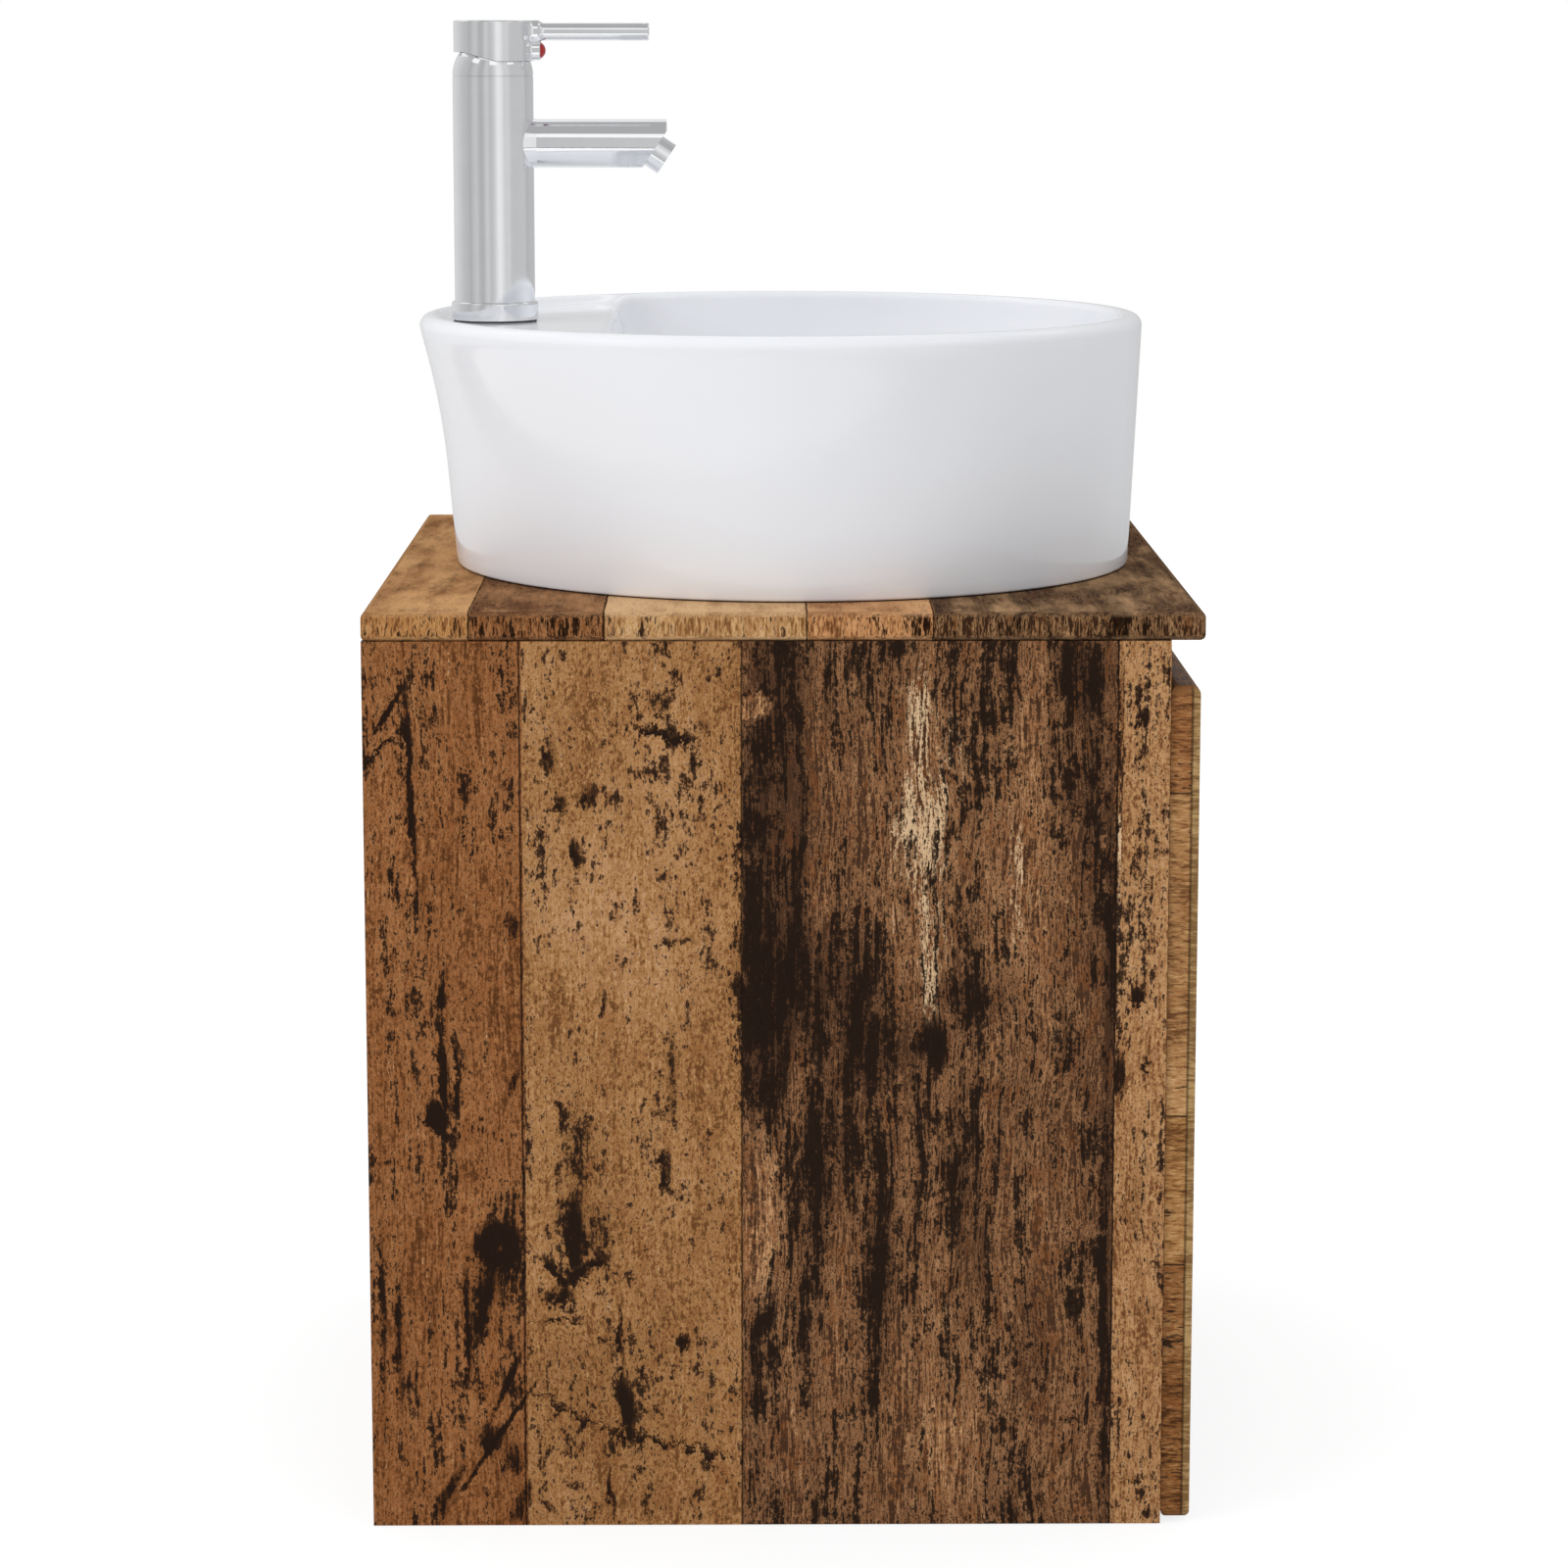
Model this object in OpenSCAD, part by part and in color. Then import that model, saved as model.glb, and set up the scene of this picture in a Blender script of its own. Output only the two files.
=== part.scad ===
// Wall-hung washbasin unit: a one-drawer cabinet, a round vessel basin standing on its top
// board, and a single-lever mixer on the basin's tap deck.
// x runs across the unit, y = 0 is the wall and -y is the room side, z = 0 is the underside.

/* [Cabinet] */
// Overall width of the cabinet
cabinet_w = 410; // [400:5:460]
// Depth of the side panels, from the wall
side_depth = 384; // [380:1:400]
// How far the top board stands past the side panels at the front
top_overhang = 16; // [15:1:24]
// Height of the cabinet, top board included
cabinet_h = 450; // [445:5:490]
// Thickness of the cabinet's boards
board_t = 14; // [14:1:16]
// Rounding of the top board's edges
top_edge_r = 3; // [1:0.5:5]
// Rounding of the drawer front's edges
front_edge_r = 4; // [1:0.5:6]
// Height of the rear rails and the front stretcher
rail_h = 70; // [60:5:80]

/* [Drawer] */
// Open strip above the drawer front, for the fingers
finger_gap = 22; // [18:1:30]
// How far the drawer front stays inside the cabinet's outline at the sides and underneath
front_reveal = 2; // [1:0.5:3]
// Travel of the drawer
drawer_travel = 300; // [250:10:300]
// Thickness of the drawer box's boards
box_t = 12; // [10:1:13]
// Thickness of the drawer's bottom
box_floor_t = 10; // [6:1:12]
// Height of the drawer box's walls
box_wall_h = 262; // [230:2:264]
// Half the clear width of the notch round the trap
notch_half_w = 60; // [50:2:70]

/* [Basin] */
// Height of the basin
basin_h = 127; // [115:1:135]
// Radius of the rim
rim_r = 186.4; // [182:0.2:188]
// Gap between the wall and the rim
rim_wall_gap = 14; // [12:1:20]
// How much the outer wall leans in at the front, from rim to foot
front_lean = 6.2; // [4:0.2:9]
// How much the outer wall leans in at the back, from rim to foot
back_lean = 18.2; // [12:0.2:20]
// Thickness of the ceramic
ceramic_t = 9; // [8:0.5:10]
// Width of the rim inside its outer edge
rim_w = 12; // [11:0.5:14]
// Height of the rim above the tap deck
rim_step = 4.5; // [3:0.5:6]
// Distance from the wall to the bowl's back edge, the front of the tap deck
deck_front = 113; // [110:1:118]

/* [Tap] */
// Distance from the wall to the tap's axis
tap_from_wall = 52.6; // [51:0.2:55]
// Radius of the tap's body
tap_r = 20.7; // [20.5:0.1:21]
// Height of the body up to the centre of its dome
tap_body_h = 125.5; // [120:0.5:140]
// Height of the spout's axis above the deck
spout_h = 91; // [88:1:95]
// Reach of the spout's upper edge, from the tap's axis
spout_reach = 89; // [84:1:110]
// Radius of the spout
spout_r = 12.3; // [12:0.1:13]
// Angle of the water jet below the horizontal
jet_angle = 34; // [30:1:40]
// Distance from the tap's axis to the tip of the lever
lever_reach = 80.2; // [70:1:100]
// Radius of the lever rod
lever_r = 4.5; // [4:0.1:5]

/* [Waste] */
// Distance from the wall to the drain
drain_from_wall = 205; // [200:1:208]
// Height of the trap's outlet pipe below the top board's underside
outlet_drop = 111; // [108:1:114]
// Outer radius of the waste pipes
pipe_r = 16; // [15:0.5:16]

/* [Hidden] */
$fn = 64;
// Overshoot of a cut past the face it opens
eps = 0.5;

// Cabinet
inner_x = cabinet_w / 2 - board_t;
side_mid_x = cabinet_w / 2 - board_t / 2;
under_top = cabinet_h - board_t;
top_depth = side_depth + top_overhang;
stretcher_y = -side_depth + 48;

// Cam joints: disc, bolt and dowel
cam_r = 7.5;
cam_h = 11.5;
cam_reach = 24;
bolt_shank_r = 3;
bolt_thread_r = 2.5;
bolt_thread_len = 10;
bolt_bore_r = 3.6;
dowel_r = 4;
dowel_in = 9;
dowel_out = 21;

// Each frame stands on a joint face: x points into the board that holds the disc,
// z to the face where the disc goes in. The right half mirrors the left.
LEFT_CAMS = [
    [[-inner_x, -60, board_t / 2], [0, 0, 0]],
    [[-inner_x, -330, board_t / 2], [0, 0, 0]],
    [[-inner_x, -board_t / 2, under_top - 22], [90, 0, 0]],
    [[-inner_x, -board_t / 2, board_t + rail_h / 2], [90, 0, 0]],
    [[-inner_x, stretcher_y, under_top - 22], [90, 0, 0]],
    [[-side_mid_x, -70, under_top], [0, 90, 0]],
    [[-side_mid_x, -320, under_top], [0, 90, 0]]
];
LEFT_DOWELS = [
    [[-inner_x, -100, board_t / 2], [0, 0, 0]],
    [[-inner_x, -290, board_t / 2], [0, 0, 0]],
    [[-inner_x, -board_t / 2, under_top - 52], [90, 0, 0]],
    [[-inner_x, -board_t / 2, board_t + 15], [90, 0, 0]],
    [[-inner_x, stretcher_y, under_top - 52], [90, 0, 0]],
    [[-side_mid_x, -110, under_top], [0, 90, 0]],
    [[-side_mid_x, -280, under_top], [0, 90, 0]]
];
wall_screw_x = 150;
wall_screw_r = 4;

// Drawer
slide_w = 12.7;
slide_len = 350;
slide_z = 170;
slide_back = 32;
box_x = inner_x - slide_w;
front_gap = 0.4;
box_front = side_depth + front_gap;
box_back = box_front - slide_len;
box_z = board_t + 14;
wall_z = box_z + box_floor_t;
notch_front = 252;

// Slide sections: u grows from the cabinet's side to the drawer's, s is up and down
slide_sheet = 1.2;
ball_r = 1.75;
outer_ball = [6, 19.5];
inner_ball = [8, 14.9];
cage_from = slide_back + 0.375 * drawer_travel;
cage_len = slide_len - 0.75 * drawer_travel;
balls_in_row = 8;
slide_screw_r = 1.75;
SLIDE_SCREWS = [75, 203, 330];

// Basin
seal_t = 1.5;
basin_z = cabinet_h + seal_t;
rim_z = basin_z + basin_h;
deck_z = rim_z - rim_step;
rim_back_y = -rim_wall_gap;
rim_front_y = rim_back_y - 2 * rim_r;
rim_y = rim_back_y - rim_r;
rim_round = 6;
foot_round = 1.5;
foot_r = rim_r - (back_lean + front_lean) / 2;
foot_y = rim_y + (front_lean - back_lean) / 2;
flare_end = 0.95;
flare_fullness = 3.4;
bowl_r = rim_r - rim_w;
bowl_corner_r = 32;
bowl_lean = 8;
bowl_round = 52;
bowl_floor_z = basin_z + 28;
mouth_r = 4;
drain_z = basin_z + 22.5;
drain_seat_r = 31.5;
drain_hole_r = 22.5;
tap_hole_r = 17.5;
deck_t = 10;
basin_facets = 80;

// Tap: heights above the deck
gasket_t = 1;
seam = 0.4;
ring_r = 22.4;
ring_top = 10.5;
cap_r = 20;
cap_gap = 0.3;
cap_bottom = tap_body_h + 7.4;
cap_top = tap_body_h + 28.1;
lever_h = tap_body_h + 22.4;
button_h = tap_body_h + 12.9;
button_end = 24.5;
cap_rise = 4.6;
cartridge_r = 17.5;
cartridge_h = 29;
turret_r = 10;
stem_w = 7.4;
pin_r = 1.5;
boss_r = 6.5;
hose_x = 7.5;
hose_y = 3;
hose_r = 5;
stud_y = -10.5;
stud_r = 4;

// Waste and trap
drain_y = -drain_from_wall;
waste_r = 21.5;
waste_end_z = cabinet_h - 54;
outlet_z = under_top - outlet_drop;
trap_r = 31;
trap_wall = 3;
pipe_wall = 1.5;

// ---------- helpers ----------

// A rectangle from the origin, with true round corners.
module rounded_rect(w, h, r) {
    translate([r, 0]) square([w - 2 * r, h]);
    translate([0, r]) square([w, h - 2 * r]);
    for (x = [r, w - r], y = [r, h - r]) translate([x, y]) circle(r);
}

// A board from the origin towards +x, -y and +z, with all its edges rounded.
module soft_board(w, d, h, r) {
    intersection() {
        rotate([90, 0, 0]) linear_extrude(d) rounded_rect(w, h, r);
        translate([0, -d, 0]) rotate([90, 0, 90]) linear_extrude(w) rounded_rect(d, h, r);
    }
}

// The same on both halves of the unit.
module both_sides() {
    children();
    mirror([1, 0, 0]) children();
}

module at_frames(frames) {
    for (f = frames) translate(f[0]) rotate(f[1]) children();
}

// A cylinder that runs along x from x0 to x1.
module rod_x(x0, x1, r) {
    translate([x0, 0, 0]) rotate([0, 90, 0]) cylinder(h = x1 - x0, r = r);
}

// A cylinder that runs along -y from y0 to y1, both counted towards the room.
module rod_y(y0, y1, r, r_end = 0) {
    translate([0, -y0, 0]) rotate([90, 0, 0])
        cylinder(h = y1 - y0, r1 = r, r2 = r_end > 0 ? r_end : r);
}

module tube(r_out, r_in, h) {
    difference() {
        cylinder(h = h, r = r_out);
        translate([0, 0, -eps]) cylinder(h = h + 2 * eps, r = r_in);
    }
}

// ---------- cabinet ----------

module cam_disc() {
    difference() {
        translate([cam_reach, 0, board_t / 2 - cam_h]) cylinder(h = cam_h, r = cam_r);
        rod_x(cam_reach - cam_r - eps, cam_reach + 5, bolt_bore_r);
    }
}

module cam_bolt() {
    rod_x(-bolt_thread_len, 0, bolt_thread_r);
    rod_x(0, cam_reach - 3, bolt_shank_r - 0.8);
    rod_x(cam_reach - 3, cam_reach + 3, bolt_shank_r);
    rod_x(0, 3, bolt_bore_r);
}

// Every hole that the cam joints need, in all the boards that meet there.
module joint_bores() {
    both_sides() {
        at_frames(LEFT_CAMS) {
            translate([cam_reach, 0, board_t / 2 - cam_h]) cylinder(h = cam_h + eps, r = cam_r);
            rod_x(0, cam_reach, bolt_bore_r);
            rod_x(-bolt_thread_len, 0, bolt_thread_r);
        }
        at_frames(LEFT_DOWELS) rod_x(-dowel_in, dowel_out, dowel_r);
    }
}

module side_panel() {
    difference() {
        translate([-cabinet_w / 2, -side_depth, 0]) cube([board_t, side_depth, under_top]);
        joint_bores();
        for (y = SLIDE_SCREWS) translate([-inner_x, -y, slide_z]) rod_x(-10, eps, slide_screw_r);
    }
}

module side_panel_left() {
    color("#4a3a31") side_panel();
}

module side_panel_right() {
    color("#4a3a31") mirror([1, 0, 0]) side_panel();
}

module bottom_panel() {
    color("#5c4739") difference() {
        translate([-inner_x, -side_depth, 0]) cube([2 * inner_x, side_depth, board_t]);
        joint_bores();
    }
}

module top_board() {
    color("#6e5646") difference() {
        translate([-cabinet_w / 2, 0, under_top])
            soft_board(cabinet_w, top_depth, board_t, top_edge_r);
        joint_bores();
        translate([0, drain_y, under_top - eps]) cylinder(h = board_t + 2 * eps, r = 36);
        translate([0, -tap_from_wall - 9, under_top - eps])
            cylinder(h = board_t + 2 * eps, r = 20);
    }
}

module rail(y, z) {
    difference() {
        translate([-inner_x, y - board_t / 2, z]) cube([2 * inner_x, board_t, rail_h]);
        joint_bores();
    }
}

module rear_top_rail() {
    color("#5c4739") difference() {
        rail(-board_t / 2, under_top - rail_h);
        both_sides() translate([wall_screw_x, 0, under_top - rail_h / 2])
            rod_y(-eps, board_t + eps, wall_screw_r);
    }
}

module rear_bottom_rail() {
    color("#5c4739") rail(-board_t / 2, board_t);
}

module front_stretcher() {
    color("#5c4739") rail(stretcher_y, under_top - rail_h);
}

module cam_discs() {
    color("silver") both_sides() at_frames(LEFT_CAMS) cam_disc();
}

module cam_bolts() {
    color("silver") both_sides() at_frames(LEFT_CAMS) cam_bolt();
}

module wood_dowels() {
    color("burlywood") both_sides() at_frames(LEFT_DOWELS) rod_x(-dowel_in, dowel_out, dowel_r);
}

// ---------- drawer slides ----------

// One member of the slide, from its section, on the left of the cabinet.
module slide_member(screw_u) {
    difference() {
        translate([-inner_x, -slide_back, slide_z]) rotate([90, 0, 0])
            linear_extrude(slide_len) children();
        if (screw_u >= 0)
            for (y = SLIDE_SCREWS)
                translate([-inner_x + screw_u, -y, slide_z]) rod_x(-eps, 2, slide_screw_r);
    }
}

// A channel section: web, two flanges, and a lip on each flange that holds the balls in.
module channel(web_u, half_h, flange_u, sheet, lip_u, lip_in, lip_out) {
    translate([web_u, -half_h]) square([sheet, 2 * half_h]);
    for (m = [0, 1]) mirror([0, m]) {
        translate([flange_u[0], half_h - sheet]) square([flange_u[1] - flange_u[0], sheet]);
        translate([lip_u, half_h - sheet - lip_in]) square([0.8, sheet + lip_in + lip_out]);
    }
}

module slide_outer() {
    slide_member(0) channel(0, 22.5, [0, 9], slide_sheet, 8.2, 1, 0);
}

module slide_middle() {
    slide_member(-1) channel(2.6, 17.7, [2.6, 10.5], 1, 9.7, 0.8, 0.8);
}

module slide_inner() {
    slide_member(11.5) channel(slide_w - slide_sheet, 13.1, [5.5, slide_w], slide_sheet, 5.5, 0, 0.8);
}

// A row of balls above and below, each row in its own punched strip.
module ball_cage(ball, strip_u) {
    pitch = (cage_len - 13) / (balls_in_row - 1);
    translate([-inner_x, -cage_from, slide_z]) for (m = [0, 1]) mirror([0, 0, m]) {
        difference() {
            translate([strip_u[0], -cage_len, ball[1] - 0.3])
                cube([strip_u[1] - strip_u[0], cage_len, 0.6]);
            for (i = [0 : balls_in_row - 1])
                translate([ball[0], -6.5 - i * pitch, ball[1] - 1])
                    cylinder(h = 2, r = ball_r + 0.05);
        }
        for (i = [0 : balls_in_row - 1])
            translate([ball[0], -6.5 - i * pitch, ball[1]]) sphere(ball_r);
    }
}

module slide_outer_left() {
    color("lightsteelblue") slide_outer();
}

module slide_outer_right() {
    color("lightsteelblue") mirror([1, 0, 0]) slide_outer();
}

module slide_middle_left() {
    color("lightsteelblue") slide_middle();
}

module slide_middle_right() {
    color("lightsteelblue") mirror([1, 0, 0]) slide_middle();
}

module slide_inner_left() {
    color("lightsteelblue") slide_inner();
}

module slide_inner_right() {
    color("lightsteelblue") mirror([1, 0, 0]) slide_inner();
}

module ball_cage_outer_left() {
    color("gray") ball_cage(outer_ball, [1.6, 8]);
}

module ball_cage_outer_right() {
    color("gray") mirror([1, 0, 0]) ball_cage(outer_ball, [1.6, 8]);
}

module ball_cage_inner_left() {
    color("gray") ball_cage(inner_ball, [4.2, 10.9]);
}

module ball_cage_inner_right() {
    color("gray") mirror([1, 0, 0]) ball_cage(inner_ball, [4.2, 10.9]);
}

module slide_screws_cabinet() {
    color("silver") both_sides() for (y = SLIDE_SCREWS)
        translate([-inner_x, -y, slide_z]) {
            rod_x(-10, slide_sheet, slide_screw_r);
            rod_x(slide_sheet, slide_sheet + 1.1, 3.2);
        }
}

module slide_screws_drawer() {
    color("silver") both_sides() for (y = SLIDE_SCREWS)
        translate([-box_x, -y, slide_z]) {
            rod_x(-slide_sheet, 10, slide_screw_r);
            rod_x(-slide_sheet - 1.1, -slide_sheet, 3.2);
        }
}

// ---------- drawer ----------

module drawer_front_screw_axes() {
    both_sides() for (z = [wall_z + 50, wall_z + box_wall_h - 50])
        translate([120, 0, z]) children();
}

module drawer_front() {
    w = cabinet_w - 2 * front_reveal;
    h = under_top - finger_gap - front_reveal;
    color("#4a3a31") difference() {
        translate([-w / 2, -box_front, front_reveal]) soft_board(w, board_t, h, front_edge_r);
        drawer_front_screw_axes() rod_y(box_front - eps, box_front + 9, 2);
    }
}

module drawer_subfront() {
    inside = box_x - box_t;
    color("gainsboro") difference() {
        translate([-inside, -box_front, wall_z]) cube([2 * inside, box_t, box_wall_h]);
        drawer_front_screw_axes() rod_y(box_front - box_t - eps, box_front + eps, 2);
    }
}

module drawer_front_screws() {
    color("silver") drawer_front_screw_axes() {
        rod_y(box_front - box_t, box_front + 9, 2);
        rod_y(box_front - box_t - 2.4, box_front - box_t, 2.6, 4);
    }
}

module drawer_side() {
    difference() {
        translate([-box_x, -box_front, wall_z]) cube([box_t, slide_len, box_wall_h]);
        for (y = SLIDE_SCREWS) translate([-box_x, -y, slide_z]) rod_x(-eps, 10, slide_screw_r);
    }
}

module drawer_side_left() {
    color("gainsboro") drawer_side();
}

module drawer_side_right() {
    color("gainsboro") mirror([1, 0, 0]) drawer_side();
}

module drawer_back() {
    translate([-box_x + box_t, -box_back - box_t, wall_z])
        cube([box_x - 2 * box_t - notch_half_w, box_t, box_wall_h]);
}

module drawer_back_left() {
    color("gainsboro") drawer_back();
}

module drawer_back_right() {
    color("gainsboro") mirror([1, 0, 0]) drawer_back();
}

module notch_wall() {
    translate([-notch_half_w - box_t, -notch_front, wall_z])
        cube([box_t, notch_front - box_back, box_wall_h]);
}

module notch_wall_left() {
    color("gainsboro") notch_wall();
}

module notch_wall_right() {
    color("gainsboro") mirror([1, 0, 0]) notch_wall();
}

module notch_wall_front() {
    half_w = notch_half_w + box_t;
    color("gainsboro") translate([-half_w, -notch_front - box_t, wall_z])
        cube([2 * half_w, box_t, box_wall_h]);
}

module drawer_bottom() {
    color("gainsboro") difference() {
        translate([-box_x, -box_front, box_z]) cube([2 * box_x, slide_len, box_floor_t]);
        translate([-notch_half_w, -notch_front, box_z - eps])
            cube([2 * notch_half_w, notch_front, box_floor_t + 2 * eps]);
    }
}

// ---------- basin ----------

// A solid through rings of points, from the lowest ring up.
module loft(rings) {
    n = len(rings[0]);
    last = len(rings) - 1;
    walls = [for (k = [0 : last - 1]) for (j = [0 : n - 1])
        let (a = k * n + j, b = k * n + (j + 1) % n) each [[a, a + n, b + n], [a, b + n, b]]];
    polyhedron([for (ring = rings) each ring], concat(
        [[for (j = [0 : n - 1]) j]], walls, [[for (j = [n - 1 : -1 : 0]) last * n + j]]));
}

// The outer wall leans in to the foot, more at the back, where it also hollows a little
// below the tap deck. t runs from 0 at the foot to 1 at the rim.
function back_inset(t) = let (s = min(max(t, 0) / flare_end, 1))
    back_lean * (1 - s) + flare_fullness * sin(180 * pow(s, 1.3));

function wall_ring(z, inset) = let (
    t = (z - basin_z) / basin_h,
    back = rim_back_y - back_inset(t) - inset,
    front = rim_front_y + front_lean * (1 - t) + inset,
    r = (back - front) / 2)
    [for (j = [0 : basin_facets - 1]) let (a = j * 360 / basin_facets)
        [r * cos(a), (back + front) / 2 + r * sin(a), z]];

// The bowl's outline: the rim's circle cut straight by the tap deck, with round corners.
function arc_points(centre, r, from, to, n, z) =
    [for (i = [0 : n]) let (a = from + (to - from) * i / n)
        [centre[0] + r * cos(a), centre[1] + r * sin(a), z]];

function bowl_ring(z, inset) = let (
    r = bowl_r - inset,
    corner = max(bowl_corner_r - inset / 3, 12),
    chord = -deck_front - inset,
    cy = chord - corner,
    cx = sqrt(pow(r - corner, 2) - pow(cy - rim_y, 2)),
    a = atan2(cy - rim_y, cx))
    concat(
        arc_points([0, rim_y], r, -180 - a, a, 44, z),
        arc_points([cx, cy], corner, a + 11, 90, 5, z),
        [for (i = [1 : 13]) [cx * (1 - i / 7), chord, z]],
        arc_points([-cx, cy], corner, 90, 169 - a, 5, z));

// The drain's circle, with a point straight inside each point of the outline.
function drain_ring(z, r) = [for (p = bowl_ring(z, 0)) let (a = atan2(p[1] - drain_y, p[0]))
    [r * cos(a), drain_y + r * sin(a), z]];

// The bowl's surface moved out by grow, without its top.
function bowl_rings(grow) = let (foot = bowl_floor_z + bowl_round - grow) concat(
    [drain_ring(drain_z - grow, drain_seat_r + grow / 2)],
    [for (a = [72 : -18 : 0])
        bowl_ring(foot - bowl_round * sin(a), bowl_lean + bowl_round * (1 - cos(a)) - grow)]);

// The hollow of the bowl, eased outwards at the rim.
module bowl_hollow() {
    loft(concat(
        bowl_rings(0),
        [bowl_ring(deck_z - deck_t, 0)],
        [for (a = [0 : 30 : 60])
            bowl_ring(rim_z - mouth_r * (1 - sin(a)), -mouth_r * (1 - cos(a)))],
        [bowl_ring(rim_z + eps, -mouth_r - eps)]));
}

module basin() {
    outer_wall = concat(
        [wall_ring(basin_z, foot_round)],
        [for (k = [0 : 7])
            wall_ring(basin_z + foot_round + k * (basin_h - rim_round - foot_round) / 8, 0)],
        [for (a = [0 : 18 : 90])
            wall_ring(rim_z - rim_round * (1 - sin(a)), rim_round * (1 - cos(a)))]);
    color("white") difference() {
        loft(outer_wall);
        // Tap deck, a step below the rim
        translate([0, rim_y, deck_z]) cylinder(h = rim_step + eps, r = bowl_r - 3);
        bowl_hollow();
        // Hollow under the deck and round the bowl, open at the foot
        difference() {
            loft([wall_ring(basin_z - eps, ceramic_t), wall_ring(deck_z - deck_t, ceramic_t + 2)]);
            loft(concat(bowl_rings(ceramic_t), [bowl_ring(deck_z, -ceramic_t)]));
        }
        translate([0, drain_y, basin_z]) cylinder(h = 60, r = drain_hole_r);
        translate([0, -tap_from_wall, deck_z - deck_t - eps])
            cylinder(h = deck_t + 2 * eps, r = tap_hole_r);
    }
}

module basin_seal() {
    color("dimgray") translate([0, foot_y, cabinet_h]) tube(foot_r - 2.5, foot_r - 7, seal_t);
}

// ---------- tap ----------

module at_tap() {
    translate([0, -tap_from_wall, deck_z]) children();
}

module hose_axes() {
    for (x = [-hose_x, hose_x]) translate([x, hose_y, 0]) children();
}

module tap_base_ring() {
    r = 1.6;
    color("silver") at_tap() rotate_extrude() {
        translate([tap_r, gasket_t]) square([ring_r - tap_r, ring_top - gasket_t - r]);
        intersection() {
            translate([ring_r - r, ring_top - r]) circle(r);
            translate([tap_r, ring_top - r - 0.1]) square([r + 1, r + 0.2]);
        }
    }
}

module tap_gasket() {
    color("dimgray") at_tap() tube(ring_r - 1, tap_hole_r + 0.5, gasket_t);
}

// Everything on the room side of the spout's end: an upright edge, then the slanted face.
module spout_end_cut() {
    edge_z = 6.3;
    translate([-20, -spout_reach - 40, -20]) cube([40, 40, 40]);
    translate([0, -spout_reach, edge_z]) rotate([jet_angle, 0, 0])
        translate([-20, -60, -60]) cube([40, 60, 60]);
}

module tap_body() {
    color("silver") at_tap() difference() {
        union() {
            translate([0, 0, gasket_t]) cylinder(h = tap_body_h - gasket_t - seam, r = tap_r);
            translate([0, 0, tap_body_h - seam]) cylinder(h = seam, r1 = tap_r, r2 = tap_r - seam);
            translate([0, 0, spout_h]) difference() {
                union() {
                    rod_y(0, spout_reach, spout_r);
                    // The spout swells a little where it leaves the body
                    rod_y(14.5, 22.6, spout_r + 1.2, spout_r);
                }
                spout_end_cut();
            }
        }
        // Cartridge seat and the cover's thread
        translate([0, 0, tap_body_h - cartridge_h]) cylinder(h = 40, r = cartridge_r);
        translate([0, 0, tap_body_h - 9]) cylinder(h = 10, r = 18.8);
        // Waterway from the cartridge to the aerator
        translate([0, -11, spout_h]) cylinder(h = 10, r = 4);
        translate([0, 0, spout_h]) rod_y(9, spout_reach - 18, 7);
        // Hose sockets and their risers, and the stud's hole
        hose_axes() {
            cylinder(h = 13, r = hose_r);
            cylinder(h = tap_body_h - cartridge_h + eps, r = 3.5);
        }
        translate([0, stud_y, 0]) cylinder(h = 15, r = stud_r);
        aerator_place() {
            translate([0, 0, -12]) cylinder(h = 13, r = 6.5);
            cylinder(h = 13, r = 8.8);
        }
    }
}

// The aerator's frame: its z axis is the way the water leaves.
module aerator_place() {
    translate([0, -spout_reach + 6.8, spout_h - 3.5]) rotate([90 + jet_angle, 0, 0]) children();
}

module aerator() {
    color("silver") at_tap() aerator_place() {
        difference() {
            union() {
                cylinder(h = 8.2, r = 8.7);
                translate([0, 0, -8]) cylinder(h = 8, r = 6.5);
            }
            translate([0, 0, -9]) cylinder(h = 20, r = 5.4);
        }
        // Jet screen: a hub and crossed bars
        translate([0, 0, 4.5]) for (a = [0 : 45 : 135]) rotate(a)
            translate([-5.6, -0.35, 0]) cube([11.2, 0.7, 1.5]);
    }
}

// The dome that the handle turns and tips on; its centre is the lever's pivot.
module cartridge_cover() {
    wall = 2.2;
    color("silver") at_tap() translate([0, 0, tap_body_h]) {
        difference() {
            sphere(tap_r);
            sphere(tap_r - wall);
            translate([0, 0, -30]) cylinder(h = 30, r = 30);
            cylinder(h = 30, r = 14);
            // The cover's half of the fine seam above the body
            translate([0, 0, -eps]) difference() {
                cylinder(h = seam + eps, r = tap_r + 1);
                cylinder(h = seam + eps, r1 = tap_r - seam - eps, r2 = tap_r);
            }
        }
        translate([0, 0, -9]) tube(18.8, cartridge_r + 0.2, 9.3);
    }
}

module cartridge() {
    color("white") at_tap() translate([0, 0, tap_body_h - cartridge_h]) difference() {
        cylinder(h = cartridge_h - 1, r = cartridge_r);
        translate([0, 0, 17.5]) cylinder(h = 20, r = turret_r + 0.3);
    }
}

module cartridge_nut() {
    color("goldenrod") at_tap() translate([0, 0, tap_body_h - 1]) tube(cartridge_r + 0.2, 12, 5);
}

module cartridge_turret() {
    color("ivory") at_tap() translate([0, 0, tap_body_h]) {
        difference() {
            translate([0, 0, -11]) cylinder(h = 17, r = turret_r);
            translate([-stem_w / 2 - 0.3, -20, -8]) cube([stem_w + 0.6, 40, 20]);
        }
        rod_x(-stem_w / 2 - 2, stem_w / 2 + 2, pin_r);
    }
}

module cartridge_stem() {
    color("gray") at_tap() translate([0, 0, tap_body_h]) difference() {
        translate([-stem_w / 2, -stem_w / 2, -5]) cube([stem_w, stem_w, 23.5]);
        rod_x(-10, 10, pin_r + 0.05);
    }
}

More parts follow.
